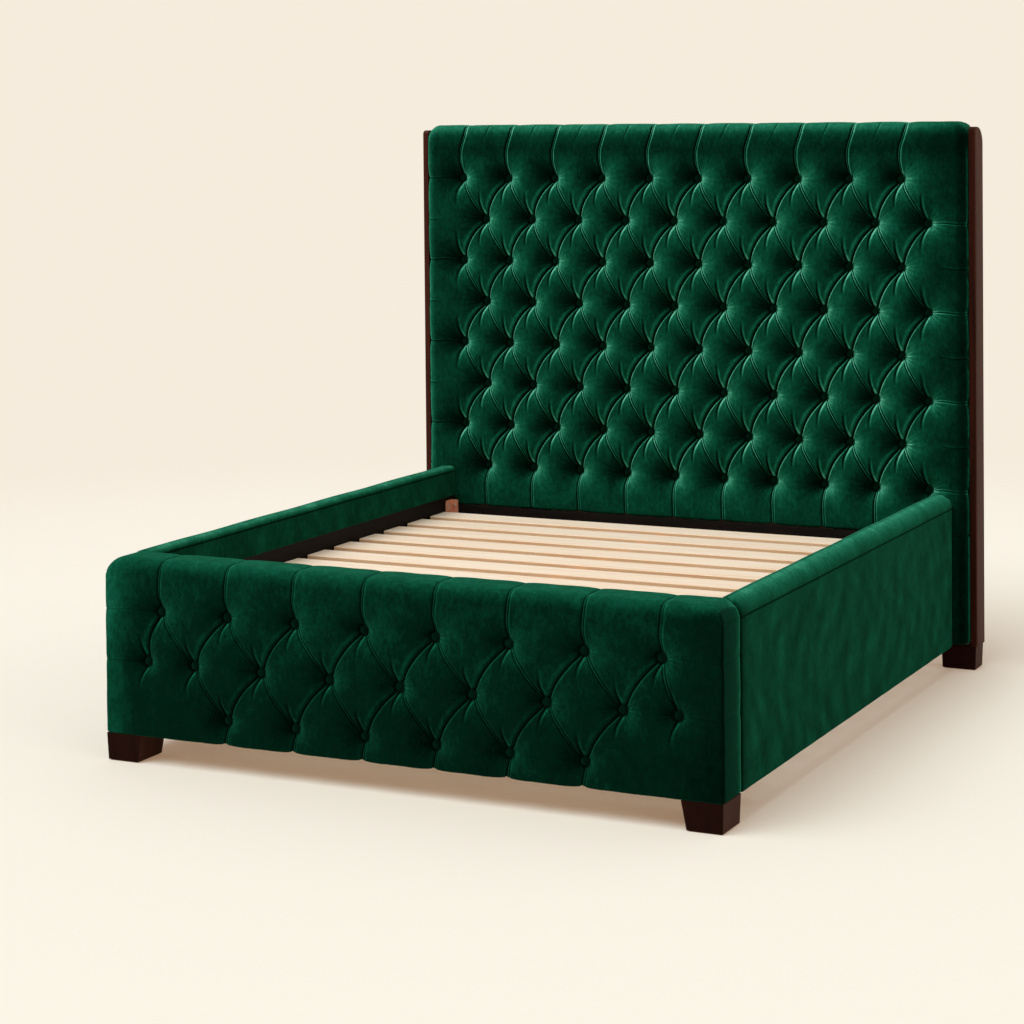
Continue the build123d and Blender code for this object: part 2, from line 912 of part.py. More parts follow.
def make_foot(footprints, bolt_place):
    """A tapered square foot, bored from above for its bolt."""
    corners = []
    for (low_x, high_x, low_y, high_y), z in zip(footprints, (underside_height, felt_thickness)):
        corners += [(x, y, z) for x in (low_x, high_x) for y in (low_y, high_y)]
    with BuildPart() as foot:
        ConvexPolyhedron(corners)
        with BuildSketch(Plane.XY.offset(underside_height)):
            with Locations(bolt_place):
                Circle(foot_bolt_radius + bolt_clearance)
        extrude(amount=-(foot_bolt_in_foot + bolt_clearance), mode=Mode.SUBTRACT)
    return foot.part


def make_foot_bolts():
    """The four bolts that hold the feet to the frames above them."""
    with BuildPart() as bolts:
        with BuildSketch(Plane.XY.offset(underside_height - foot_bolt_in_foot)):
            for x, y in (front_bolt_place(), head_bolt_place()):
                with Locations((x, y), (-x, y)):
                    Circle(foot_bolt_radius)
        extrude(amount=foot_bolt_in_foot + foot_bolt_in_frame)
    return bolts.part


def make_felt_pads():
    """A felt pad under every foot and every leg."""
    half_leg = leg_width / 2
    footprints = [(-half_leg, half_leg, y - half_leg, y + half_leg) for y in leg_centres()]
    for low_x, high_x, low_y, high_y in (front_foot_footprints()[1], head_foot_footprints()[1]):
        footprints.append((low_x, high_x, low_y, high_y))
        footprints.append((-high_x, -low_x, low_y, high_y))
    with BuildPart() as pads:
        for low_x, high_x, low_y, high_y in footprints:
            add(block_between(
                (low_x + felt_inset, low_y + felt_inset, 0),
                (high_x - felt_inset, high_y - felt_inset, felt_thickness),
            ))
    return pads.part


# Write every piece

os.makedirs("parts", exist_ok=True)

save("headboard_pad", make_headboard_pad())
save("headboard_buttons", make_buttons(headboard_button_rows(), y_head_crease))
save_pair("headboard_leg_pad", make_leg_pad())
save_pair("post", make_post())
save("headboard_panel", make_headboard_panel())
save(
    "headboard_back_cover",
    rounded_board(
        half_headboard_frame,
        underside_height,
        headboard_frame_top,
        headboard_corner_radius - headboard_wrap,
        y_back_cover,
        headboard_back_thickness,
    ),
)
save_pair("headboard_stile", make_headboard_stile(), "{name}_{side}")
save("headboard_centre_stiles", make_centre_stiles())
save("headboard_top_batten", headboard_batten(headboard_frame_top - headboard_batten_height))
save("headboard_middle_batten", headboard_batten(headboard_middle_batten_height))
save("headboard_bottom_batten", headboard_batten(underside_height))
save("headboard_packing_blocks", make_packing_blocks())
save("headboard_bolts", make_headboard_bolts())

save("footboard_pad", make_footboard_pad())
save("footboard_buttons", make_buttons(footboard_button_rows(), y_foot_crease))
save("footboard_front_panel", footboard_board(y_foot_panel, footboard_panel_thickness))
save(
    "footboard_inner_board",
    footboard_board(y_inner_board - footboard_board_thickness, footboard_board_thickness),
)
save_pair("footboard_block", make_footboard_block(), "{name}_{side}")
save("footboard_top_batten", footboard_batten(footboard_frame_top - footboard_batten_height))
save("footboard_bottom_batten", footboard_batten(underside_height))

save_pair("rail_board", make_rail_board())
save_pair("rail_pad", make_rail_pad())
save_pair("ledger", make_ledger())
for end, (corner_y, reach) in bracket_ends().items():
    save_pair(f"corner_bracket_{end}", make_corner_bracket(corner_y, reach), "{name}_{side}")
    save(f"beam_hanger_{end}", make_hanger(corner_y, reach))
save("bracket_screws", make_bracket_screws())
save("ledger_screws", make_ledger_screws())

save("head_cross_board", make_cross_board())
save("centre_beam", make_beam())
for number, middle_y in enumerate(leg_centres(), start=1):
    save(f"centre_leg_{number}", make_leg(middle_y))
for number, start_y in enumerate(slat_starts(), start=1):
    save(f"slat_{number:02d}", make_slat(start_y))

save_pair("front_foot", make_foot(front_foot_footprints(), front_bolt_place()))
save_pair("head_foot", make_foot(head_foot_footprints(), head_bolt_place()))
save("foot_bolts", make_foot_bolts())
save("felt_pads", make_felt_pads())
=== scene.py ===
from math import ceil, cos, exp, hypot, pi, radians, sin, sqrt
from types import SimpleNamespace

import bmesh
import bpy
import numpy as np
from mathutils import Matrix, Vector


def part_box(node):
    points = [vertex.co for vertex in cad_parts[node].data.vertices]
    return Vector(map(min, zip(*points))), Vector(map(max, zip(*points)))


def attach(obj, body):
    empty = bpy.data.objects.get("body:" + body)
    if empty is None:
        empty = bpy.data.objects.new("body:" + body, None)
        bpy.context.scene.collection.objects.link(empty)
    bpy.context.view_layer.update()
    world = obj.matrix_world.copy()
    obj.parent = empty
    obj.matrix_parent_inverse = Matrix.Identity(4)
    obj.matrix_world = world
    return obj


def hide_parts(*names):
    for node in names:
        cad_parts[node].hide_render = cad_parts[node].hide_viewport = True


# A deep-buttoned velvet bed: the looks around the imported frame. Lengths are in metres, and tables
# of steps, folds and profiles in millimetres.

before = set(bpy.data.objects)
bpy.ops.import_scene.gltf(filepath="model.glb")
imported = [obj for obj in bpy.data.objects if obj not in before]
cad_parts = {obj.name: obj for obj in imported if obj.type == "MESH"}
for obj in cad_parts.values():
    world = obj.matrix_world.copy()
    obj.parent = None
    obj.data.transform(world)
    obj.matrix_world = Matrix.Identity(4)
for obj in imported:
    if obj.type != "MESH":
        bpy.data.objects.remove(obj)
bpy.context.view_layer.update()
MM = 0.001

# Camera, from the bed's edges in the photograph
PHOTO_SIDE = 1024
FOCAL_PIXELS = 2516.9
HORIZON_RISE_PIXELS = 325.4
SENSOR_WIDTH_MM = 36.0
CAMERA_PLACE = (3.342, -7.2546, 1.8865)
CAMERA_YAW = 0.4517
CAMERA_PITCH = 0.0275
CAMERA_ROLL = -0.0091

# A covered button: its outer radius, and the rim where the velvet dives under it
BUTTON_RADIUS = 12 * MM
BUTTON_RIM = 9 * MM
BUTTON_SIDES = 28
# Its section from the crown out and round to the back: radius, and height in front of its seat
BUTTON_PROFILE = (
    (0, 9.0), (3, 8.8), (6, 8.1), (8.5, 6.9), (10.4, 5.2), (11.6, 3.2), (12, 1.2), (11.4, -1.5), (9, -4),
)

# How far the buttons sit behind the crowns of the cells
HEAD_TUFT = 42 * MM
FOOT_TUFT = 32 * MM
# How many buttons a row has, how many rows there are, and the footboard's distance between buttons
HEAD_COLUMNS = 10
HEAD_ROWS = 8
FOOT_COLUMNS = 8
FOOT_PITCH = 226 * MM

# Fine steps on both sides of a pleat, then coarser ones to the middle of a cell
PLEAT_STEPS = (
    0, 1.3, 2.6, 3.9, 5.2, 6.5, 8, 9.5, 11.5, 13.5, 16, 18.5, 21, 24, 27, 30, 33.5, 37, 41, 45, 50, 55, 60.5,
    66.5, 73, 80.5, 88.5,
)
# From a button out to an edge: fine, coarse, then fine again over the rolled edge
NEAR_STEPS = (0, 1.5, 3, 5, 7.5, 10.5, 14, 18, 22, 26, 30, 34.5, 39)
EDGE_STEPS_BACK = (112, 104, 98, 92, 88, 85, 82, 80, 76, 71, 66, 61, 56, 51, 46, 43, 40, 37, 32, 22, 11, 0)
COARSE_STEP = 4.5 * MM
SMALLEST_GAP = 4 * MM
# Points of neighbouring patches that lie closer than this are one point
WELD = 0.02 * MM

# A rolled edge takes this much of the flat layout, and so does the face behind it
ROLL_SPAN = 40 * MM
BACK_SPAN = 40 * MM
EDGE_SPAN = ROLL_SPAN + BACK_SPAN

# The boards inside the footboard are bare below this height
BARE_BOARD_TOP = 508 * MM
# The rails' velvet is turned down over their boards and stapled along this height
INNER_VELVET_END = 492 * MM

# The mesh attribute of painted light and shade on the velvet: above 0 a painted highlight, below 0 painted
# shade
SHADING_ATTRIBUTE = "painted_shading"
# How far a painted shading value of 1 moves the velvet along its colour ramp
SHADING_SHARE = 0.54


# Small helpers


def unit(value):
    """A value held between 0 and 1."""
    return np.clip(value, 0, 1)


def plug(owner, made, values):
    """Fills a node's sockets, by name or number, with plain values or links from other nodes."""
    for socket, value in values.items():
        if isinstance(value, bpy.types.NodeSocket):
            owner.node_tree.links.new(value, made.inputs[socket])
        else:
            made.inputs[socket].default_value = value


def material(name, values):
    """A new node material and its shader, with the values of the shader's sockets."""
    made = bpy.data.materials.new(name)
    made.use_nodes = True
    shader = made.node_tree.nodes["Principled BSDF"]
    plug(made, shader, values)
    return made, shader


def node(owner, kind, values=None, **settings):
    """A new node of that kind in a material or world, with its settings and what its sockets get."""
    made = owner.node_tree.nodes.new(kind)
    for name, value in settings.items():
        setattr(made, name, value)
    plug(owner, made, values or {})
    return made


def linear(colour):
    """A screen colour from 0 to 255 as linear light, with alpha."""
    shares = [value / 255 for value in colour]
    light = [share / 12.92 if share <= 0.04045 else ((share + 0.055) / 1.055) ** 2.4 for share in shares]
    return (*light, 1)


def ramp(owner, factor, stops):
    """A colour ramp over a factor; stops are (place, screen colour)."""
    made = node(owner, "ShaderNodeValToRGB", {0: factor})
    elements = made.color_ramp.elements
    while len(elements) < len(stops):
        elements.new(0.5)
    for element, (place, colour) in zip(elements, stops):
        element.position = place
        element.color = linear(colour)
    return made.outputs[0]


def noise(owner, scale, detail=4.0, roughness=0.55, stretch=(1, 1, 1), distortion=0.0):
    """Noise in the object's own metres, stretched along its axes."""
    place = node(owner, "ShaderNodeTexCoord").outputs["Object"]
    mapping = node(owner, "ShaderNodeMapping", {"Vector": place, "Scale": stretch})
    return node(owner, "ShaderNodeTexNoise", {
        "Vector": mapping.outputs[0], "Scale": scale, "Detail": detail, "Roughness": roughness,
        "Distortion": distortion,
    }).outputs[0]


def mixed(owner, first, second, share):
    """Two factors mixed, share of the second."""
    return node(owner, "ShaderNodeMix", {0: share, 2: first, 3: second}, data_type="FLOAT").outputs[0]


def bumped(owner, shader, height, strength, distance):
    """Gives a shader a bump from a height factor."""
    bump = node(owner, "ShaderNodeBump", {"Strength": strength, "Distance": distance, "Height": height})
    plug(owner, shader, {"Normal": bump.outputs[0]})


# Materials


def velvet_material(name, tones, brushed=1.0):
    """Short-nap velvet, patchy, made dark by painted shade and light by painted highlights from a mesh
    attribute.
    """
    made, shader = material(name, {
        "Roughness": 0.9, "Specular IOR Level": 0.0,
        "Sheen Weight": 0.22, "Sheen Roughness": 0.45, "Sheen Tint": linear((80, 190, 146)),
    })
    patches = noise(made, 11.0, detail=6.0, roughness=0.62, distortion=1.2)
    strokes = noise(made, 85.0, detail=6.0, roughness=0.78, stretch=(1.0, 1.0, 0.5), distortion=0.7)
    nap = noise(made, 900.0, detail=2.0)
    tone = mixed(made, mixed(made, patches, strokes, 0.62 * brushed), nap, 0.2)
    painted_shading = node(made, "ShaderNodeAttribute", attribute_name=SHADING_ATTRIBUTE).outputs["Fac"]
    # The painted shading moves the patchy tone along the ramp
    turned = node(made, "ShaderNodeMath", {0: painted_shading, 1: SHADING_SHARE, 2: tone}, operation="MULTIPLY_ADD")
    plug(made, shader, {"Base Color": ramp(made, turned.outputs[0], tones)})
    bumped(made, shader, mixed(made, nap, strokes, 0.35), 0.25, 0.8 * MM)
    return made


def front_tinted(owner, colour, tint):
    """A colour multiplied by a tint on the faces that look to the foot end."""
    normal = node(owner, "ShaderNodeNewGeometry").outputs["Normal"]
    facing = node(owner, "ShaderNodeVectorMath", {0: normal, 1: (0, -1, 0)}, operation="DOT_PRODUCT")
    share = node(owner, "ShaderNodeMapRange", {
        "Value": facing.outputs["Value"], "From Min": 0.55, "From Max": 0.85,
    })
    return node(owner, "ShaderNodeMix", {
        "Factor": share.outputs[0], 6: colour, 7: (*tint, 1),
    }, data_type="RGBA", blend_type="MULTIPLY").outputs[2]


def wood_material(name, stops, scale, stretch, roughness, gloss=0.2, bump=0.15, front_tint=None):
    """Planed wood: long grain, stretched along the board; its front edges may be darker."""
    made, shader = material(name, {"Roughness": roughness, "Specular IOR Level": gloss})
    rings = noise(made, scale, detail=7.0, roughness=0.62, stretch=stretch, distortion=1.0)
    pores = noise(made, scale * 14, detail=3.0, stretch=stretch)
    colour = ramp(made, mixed(made, rings, pores, 0.3), stops)
    if front_tint:
        colour = front_tinted(made, colour, front_tint)
    plug(made, shader, {"Base Color": colour})
    bumped(made, shader, mixed(made, rings, pores, 0.6), bump, 0.6 * MM)
    return made


def metal_material(name, stops, metallic, roughness):
    """Coated or plated steel, slightly mottled."""
    made, shader = material(name, {"Metallic": metallic, "Roughness": roughness})
    plug(made, shader, {"Base Color": ramp(made, noise(made, 60.0, detail=5.0), stops)})
    bumped(made, shader, noise(made, 400.0), 0.1, 0.3 * MM)
    return made


def woven_material(name, stops, scale):
    """A plain matt cloth or felt."""
    made, shader = material(name, {"Roughness": 0.95})
    fibres = mixed(made, noise(made, scale, detail=3.0), noise(made, scale / 9, detail=4.0), 0.4)
    plug(made, shader, {"Base Color": ramp(made, fibres, stops)})
    bumped(made, shader, fibres, 0.4, 0.5 * MM)
    return made


# Velvet colours: painted shading and the patchy tone pick a place on this ramp, from painted shade at the
# dark end to painted highlights at the light end
velvet = velvet_material("velvet", (
    (0.0, (0, 10, 6)), (0.28, (2, 31, 20)), (0.44, (6, 55, 38)), (0.56, (10, 74, 54)),
    (0.74, (29, 107, 82)), (0.92, (68, 157, 128)), (1.0, (102, 188, 158)),
))
BUTTON_TONES = ((0.3, (1, 15, 9)), (0.5, (2, 23, 14)), (0.7, (4, 34, 22)))
button_velvet = velvet_material("button_velvet", BUTTON_TONES, 0.5)
POST_TONES = ((0.3, (43, 20, 11)), (0.5, (63, 30, 18)), (0.7, (83, 43, 28)))
POST_GRAIN = (3.0, 3.0, 0.18)
# The posts' fronts are tinted darker than their sides: painted shade
post_wood = wood_material(
    "post_wood", POST_TONES, 9.0, POST_GRAIN, 0.5, gloss=0.04, front_tint=(0.5, 0.38, 0.36),
)
# A lit copy of the post wood for the left post, whose front is tinted far less than the right post's: a
# painted highlight
left_post_wood_lit = wood_material(
    "left_post_wood_lit", POST_TONES, 9.0, POST_GRAIN, 0.45, gloss=0.08, front_tint=(0.95, 0.7, 0.75),
)
# The feet's fronts are tinted much darker than their sides: painted shade
foot_wood = wood_material(
    "foot_wood",
    ((0.3, (41, 20, 12)), (0.5, (56, 28, 18)), (0.7, (72, 39, 27))),
    9.0, (3.0, 3.0, 0.4), 0.5, gloss=0.04, front_tint=(0.3, 0.18, 0.14),
)
slat_wood = wood_material(
    "slat_wood",
    ((0.28, (232, 196, 160)), (0.44, (247, 226, 200)), (0.58, (252, 238, 219)), (0.76, (254, 246, 234))),
    16.0, (0.12, 3.2, 3.2), 0.6, bump=0.2, front_tint=(0.9, 0.68, 0.5),
)
board_black = wood_material(
    "board_black",
    ((0.3, (8, 5, 4)), (0.55, (17, 11, 9)), (0.75, (29, 20, 17))),
    14.0, (0.4, 0.3, 3.0), 0.6, gloss=0.1, bump=0.1,
)
raw_timber = wood_material(
    "raw_timber",
    ((0.3, (150, 112, 74)), (0.5, (190, 150, 106)), (0.7, (212, 176, 132))),
    12.0, (0.5, 1.0, 0.5), 0.7, bump=0.2,
)
copper_coat = metal_material("copper_coat", ((0.35, (196, 128, 96)), (0.65, (230, 172, 138))), 0.25, 0.42)
zinc_plate = metal_material("zinc_plate", ((0.35, (138, 140, 140)), (0.65, (182, 184, 182))), 0.9, 0.35)
lining_cloth = woven_material("lining_cloth", ((0.35, (12, 12, 12)), (0.65, (26, 26, 25))), 900.0)
felt_cloth = woven_material("felt_cloth", ((0.35, (38, 30, 26)), (0.65, (60, 50, 44))), 600.0)


# Tufted layout: where the buttons, the pleats and the patches of mesh between them lie


def button_ends(name):
    """The outermost places of a node's buttons: left, right, top and bottom."""
    low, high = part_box(name)
    return low[0] + BUTTON_RADIUS, high[0] - BUTTON_RADIUS, high[2] - BUTTON_RADIUS, low[2] + BUTTON_RADIUS


def headboard_rows():
    """The rows of button places, from the top down, read from the frame's buttons."""
    first, last, top, bottom = button_ends("headboard_buttons")
    pitch = (last - first) / (HEAD_COLUMNS - 0.5)
    rows = []
    for row in range(HEAD_ROWS):
        z = top + (bottom - top) * row / (HEAD_ROWS - 1)
        start = first + (row % 2) * pitch / 2
        rows.append([(start + column * pitch, z) for column in range(HEAD_COLUMNS)])
    return rows


def footboard_rows():
    """Three rows; the middle one is the widest and has its end buttons drawn in."""
    _, end, top, bottom = button_ends("footboard_buttons")
    middle = (top + bottom) / 2
    half_span = FOOT_PITCH * (FOOT_COLUMNS - 1) / 2
    first = [(-half_span + k * FOOT_PITCH, top) for k in range(FOOT_COLUMNS)]
    between = [(-half_span + (k + 0.5) * FOOT_PITCH, middle) for k in range(FOOT_COLUMNS - 1)]
    last = [(x, bottom) for x, z in first[1:-1]]
    return [first, [(-end, middle)] + between + [(end, middle)], last]


def steps_between():
    """Shares along a side between two buttons, fine at both ends."""
    half = [step / PLEAT_STEPS[-1] / 2 for step in PLEAT_STEPS]
    return np.array(half + [1 - share for share in half[-2::-1]])


def steps_outward(length):
    """Shares along a side from a button out over a rolled edge."""
    far = [length - step * MM for step in EDGE_STEPS_BACK]
    near = [step * MM for step in NEAR_STEPS if step * MM < far[0] - SMALLEST_GAP]
    gap = far[0] - near[-1]
    count = max(1, round(gap / COARSE_STEP))
    middle = [near[-1] + gap * (k + 1) / count for k in range(count - 1)]
    return np.array(near + middle + far) / length


class Layout:
    """Patches of a flat layout, out to its ends, and welded into one mesh when all are there."""

    def __init__(self, side, top, bottom, end_button, top_button, low_button):
        self.points, self.faces = [], []
        self.side, self.top, self.bottom = side, top, bottom
        self.between = steps_between()
        self.out = steps_outward(side - end_button[0])
        self.up = steps_outward(top - top_button[1])
        self.down = steps_outward(low_button[1] - bottom)

    def patch(self, a, b, c, d, along, across):
        """A four-sided patch: along runs from a to b, across from a to d."""
        u, v = np.meshgrid(along, across)
        weights = ((1 - u) * (1 - v), u * (1 - v), u * v, (1 - u) * v)
        grid = sum(weight[..., None] * np.array(corner) for weight, corner in zip(weights, (a, b, c, d)))
        start = sum(len(points) for points in self.points)
        rows, columns = u.shape
        index = start + np.arange(rows * columns).reshape(rows, columns)
        corners = (index[:-1, :-1], index[:-1, 1:], index[1:, 1:], index[1:, :-1])
        quads = np.stack(corners, axis=-1).reshape(-1, 4)
        turned = np.cross(np.subtract(b, a), np.subtract(d, a)) < 0
        self.points.append(grid.reshape(-1, 2))
        self.faces.append(quads[:, ::-1] if turned else quads)

    def cell(self, a, b, c, d):
        """A patch between four places."""
        self.patch(a, b, c, d, self.between, self.between)

    def to_top(self, a, b):
        """A patch from the side a to b up to the layout's end."""
        self.patch(a, b, (b[0], self.top), (a[0], self.top), self.between, self.up)

    def to_bottom(self, a, b):
        """A patch from the side a to b down to the layout's end."""
        self.patch(a, b, (b[0], self.bottom), (a[0], self.bottom), self.between, self.down)

    def to_side(self, a, b, sign):
        """A patch from the side a to b out to the layout's left (-1) or right (1) end."""
        x = sign * self.side
        self.patch(a, b, (x, b[1]), (x, a[1]), self.between, self.out)

    def to_corner(self, button, sign, z, across):
        """A patch from a button out to a corner of the layout."""
        x = sign * self.side
        self.patch(button, (x, button[1]), (x, z), (button[0], z), self.out, across)

    def welded(self):
        """The points and faces, with shared edges joined."""
        points = np.concatenate(self.points)
        keys = np.round(points / WELD).astype(np.int64)
        _, first, place = np.unique(keys, axis=0, return_index=True, return_inverse=True)
        faces = place.reshape(-1)[np.concatenate(self.faces)]
        return points[first], faces


def headboard_layout(rows, side, top, bottom):
    """The headboard's patches and its pleats, out to the ends of the flat layout."""
    first, second, last, above = rows[0], rows[1], rows[-1], rows[-2]
    layout = Layout(side, top, bottom, last[-1], first[0], last[0])
    for k in range(len(first) - 1):
        for button in (first[k], first[k + 1]):
            layout.to_top(button, second[k])
        for button in (last[k], last[k + 1]):
            layout.to_bottom(button, above[k + 1])
    for r in range(1, len(rows) - 1):
        upper, row, lower = rows[r - 1:r + 2]
        for k in range(len(row) - 1):
            middle = k + r % 2
            layout.cell(upper[middle], row[k], lower[middle], row[k + 1])
    for r in range(0, len(rows) - 2, 2):
        for end, sign, start in ((0, -1, r), (-1, 1, r + 1)):
            upper, inner, lower = (row[end] for row in rows[start:start + 3])
            layout.to_side(upper, inner, sign)
            layout.to_side(lower, inner, sign)
    layout.to_top(first[-1], second[-1])
    layout.to_bottom(last[0], above[0])
    for left, right, z, across in ((first, second, top, layout.up), (above, last, bottom, layout.down)):
        layout.to_corner(left[0], -1, z, across)
        layout.to_corner(right[-1], 1, z, across)
    pleats = [(button, (button[0], top), "up") for button in first]
    pleats += [(button, (button[0], bottom), "down") for button in last]
    pleats += [(row[0], (-side, row[0][1]), "left") for row in rows[0::2]]
    pleats += [(row[-1], (side, row[-1][1]), "right") for row in rows[1::2]]
    neighbour = 100 * MM
    for upper_row, lower_row in zip(rows, rows[1:]):
        for start in upper_row:
            for end in lower_row:
                if abs(start[0] - end[0]) < neighbour:
                    pleats.append((start, end, "pair" if end[0] > start[0] else "fold"))
    return layout, pleats


def footboard_layout(rows, side, top, bottom):
    """The footboard's patches and its pleats."""
    first, middle, last = rows
    layout = Layout(side, top, bottom, first[-1], first[0], last[0])
    for k in range(len(first) - 1):
        for button in (first[k], first[k + 1]):
            layout.to_top(button, middle[k + 1])
    for k in range(1, len(first) - 1):
        layout.cell(first[k], middle[k], last[k - 1], middle[k + 1])
    for k, button in enumerate(last):
        for inner in (middle[k + 1], middle[k + 2]):
            layout.to_bottom(button, inner)
    ends = ((-1, first[0], middle[0], middle[1]), (1, first[-1], middle[-1], middle[-2]))
    for sign, upper, end, inner in ends:
        low = (end[0] + inner[0] - upper[0], last[0][1])
        layout.to_corner(upper, sign, top, layout.up)
        layout.to_side(upper, end, sign)
        layout.cell(upper, end, low, inner)
        layout.to_bottom(low, inner)
        layout.to_bottom(low, end)
        layout.to_corner(end, sign, bottom, layout.down)
    pleats = [(button, (button[0], top), "over") for button in first]
    pleats += [(button, (button[0], bottom), "down") for button in last]
    for sign, upper, end, _ in ends:
        pleats.append((upper, (sign * side, upper[1]), "faint"))
        pleats.append((end, (sign * side, end[1]), "faint"))
    for k, button in enumerate(first):
        pleats += [(button, middle[k], "fold"), (button, middle[k + 1], "pair")]
    for k, button in enumerate(last):
        pleats += [(middle[k + 1], button, "pair"), (middle[k + 2], button, "fold")]
    return layout, pleats


# Relief: how far the velvet lies in, over the layout

# Kinds of fold: strength at the start and the end, bow to the left in mm, and strands across it.
# A strand is (offset to the right, half width, depth, look), in mm, where the look is painted light on the
# fold: above 0 a painted highlight, below 0 painted shade.
TOP_STRANDS = ((0, 2.8, 5.5, -1.1), (4.4, 1.7, 0, 0.7), (8.4, 1.9, 3.4, -0.9), (12.6, 2.6, -0.4, 0.9))
LOW_STRANDS = ((0, 2.6, 4.4, -1.0), (4.4, 1.7, 0, 0.7), (8.6, 1.8, 3.0, -0.8), (12.6, 2.2, -0.3, 0.6))
TWIN_STRANDS = ((-4.4, 1.7, 2.8, -0.8), (-0.8, 1.5, 0, 0.7), (3.4, 2.3, 4.0, -1.1), (8.2, 2.2, -0.3, 0.4))
FOLDS = {
    "fold": ((1, 1), 0, ((0, 3.2, 7.0, -1.5), (5.6, 2.0, -0.5, 1.0), (-13, 5.5, -1.0, 0.35))),
    "pair": ((1, 1), 0, TWIN_STRANDS),
    "up": ((1, 1), 0, TOP_STRANDS),
    "over": ((1, 0.4), 0, TOP_STRANDS),
    "down": ((1, 0.6), 0, LOW_STRANDS),
    "left": ((0.9, 0.6), 0, ((0, 2.0, 3.0, -0.8), (4, 2.0, -0.3, 0.4))),
    "right": ((0.9, 0.6), 0, ((0, 1.8, 2.6, -0.6), (4, 1.8, -0.3, 0.6), (-4, 1.8, -0.3, 0.5))),
    "faint": ((0.5, 0.2), 0, ((0, 2.2, 2.0, -0.5), (4, 2.2, -0.3, 0.3))),
    "horn": ((1.25, 0), 4, ((0, 3.6, 6.5, -1.5), (7.2, 4.8, -2.2, 1.0), (-9, 5, -0.8, 0.2))),
    "tail": ((1.25, 0.1), 5, ((0, 3.4, 6.0, -1.4), (6.8, 3.6, -1.4, 1.1))),
    "spike": ((1, 0), 0, ((0, 1.9, -1.8, 0.7),)),
    "dart": ((1, 0), 0, ((0, 1.9, 1.6, -0.5),)),
    "hint": ((0.9, 0), 3, ((0, 2.8, 2.2, -0.6), (5, 3.0, -0.5, 0.35))),
}
# The pleats, which lie in a soft valley and run on to an edge or a button
LONG_FOLDS = ("fold", "pair", "up", "over", "down", "left", "right", "faint")

# Depths, widths and reaches of what shapes the velvet
PIT_REACH = 37 * MM
# The painted shading follows the slopes of wider pits, a little down to the right: painted shade where they
# face right, painted highlights where they face left
LOOK_REACH = 44 * MM
LOOK_STEP = (1.9 * MM, -0.6 * MM)
PLEAT_DEPTH = 8 * MM
PLEAT_WIDTH = 15 * MM
CREASE_LIMIT = 8 * MM
RAY_DEPTH = 1.5 * MM
RAY_COUNT = 23
RAY_REACH = 27 * MM
WANDER = 0.8 * MM
# The share of full height that a cell's crown reaches between its pits
CROWN = 0.76
# How abruptly the velvet levels out at full height
LEVELLING = 7
# How fast the painted shading turns with the slope, and how much painted light and shade a rolled edge gets
SLOPE_SHADING = 1.2
EDGE_SHADING = 0.4
# How much darker the painted shade makes the headboard's right edge and the strip below it
HEAD_EDGE_SHADE = -0.38
# A painted highlight line on the right-hand rolls beside the post: how far back it lies, its width and its
# strength
RIM_BACK = 25 * MM
RIM_WIDTH = 4 * MM
RIM_HIGHLIGHT = 0.9
# The painted shadow ring close round a button
RING_RADIUS = 14.5 * MM
RING_WIDTH = 3.4 * MM


def bell(off, width):
    """1 in the middle, and falling evenly to nothing beyond the width on both sides."""
    return np.exp(-((off / width) ** 2))


def small_folds(rows, reach):
    """What starts at each button: folds above and below it, a spike to its right and a dart to its left."""
    made = []
    for number, row in enumerate(rows):
        for x, z in row:
            if number > 0:
                made.append(((x - 3 * MM, z + 6 * MM), (x - 9 * MM, z + reach), "horn"))
            if number < len(rows) - 1:
                made.append(((x + 2 * MM, z - 8 * MM), (x - 12 * MM, z - reach), "tail"))
            made.append(((x, z), (x + 58 * MM, z), "spike"))
            made.append(((x, z), (x - 66 * MM, z), "dart"))
    return made


def edge_hints(rows, side, top):
    """Faint short creases in the rolled edges, halfway between the pleats there."""
    made = []
    for left, right in zip(rows[0], rows[0][1:]):
        middle = (left[0] + right[0]) / 2
        made.append(((middle + 10 * MM, top + 34 * MM), (middle - 6 * MM, top - 46 * MM), "hint"))
    for row in rows[1::2]:
        made.append(((-side - 30 * MM, row[0][1]), (-side + 34 * MM, row[0][1]), "hint"))
    for row in rows[2::2]:
        made.append(((side + 30 * MM, row[-1][1]), (side - 60 * MM, row[-1][1]), "hint"))
    return made


def pits(x, z, rows, pit_reach):
    """The height that the buttons' pits leave: 1 far from any button and 0 at a button's rim."""
    height = np.ones_like(x)
    window = 260 * MM
    for bx, bz in sum(rows, []):
        near = (np.abs(x - bx) < window) & (np.abs(z - bz) < window)
        away = np.maximum(np.hypot(x[near] - bx, z[near] - bz) - BUTTON_RIM, 0)
        height[near] *= 1 - np.exp(-away / pit_reach)
    return height


def levelled(height):
    """Pit heights that level out softly to 1 between the pits."""
    full = height / CROWN
    return np.minimum(1.01 * full / (1 + full**LEVELLING) ** (1 / LEVELLING), 1)


def button_shadow_rings(x, z, rows):
    """The painted shadow rings round the buttons, from 0 to 1."""
    made = np.zeros_like(x)
    for bx, bz in sum(rows, []):
        away = np.hypot(x - bx, z - bz)
        made = np.maximum(made, bell(away - RING_RADIUS, RING_WIDTH))
    return made


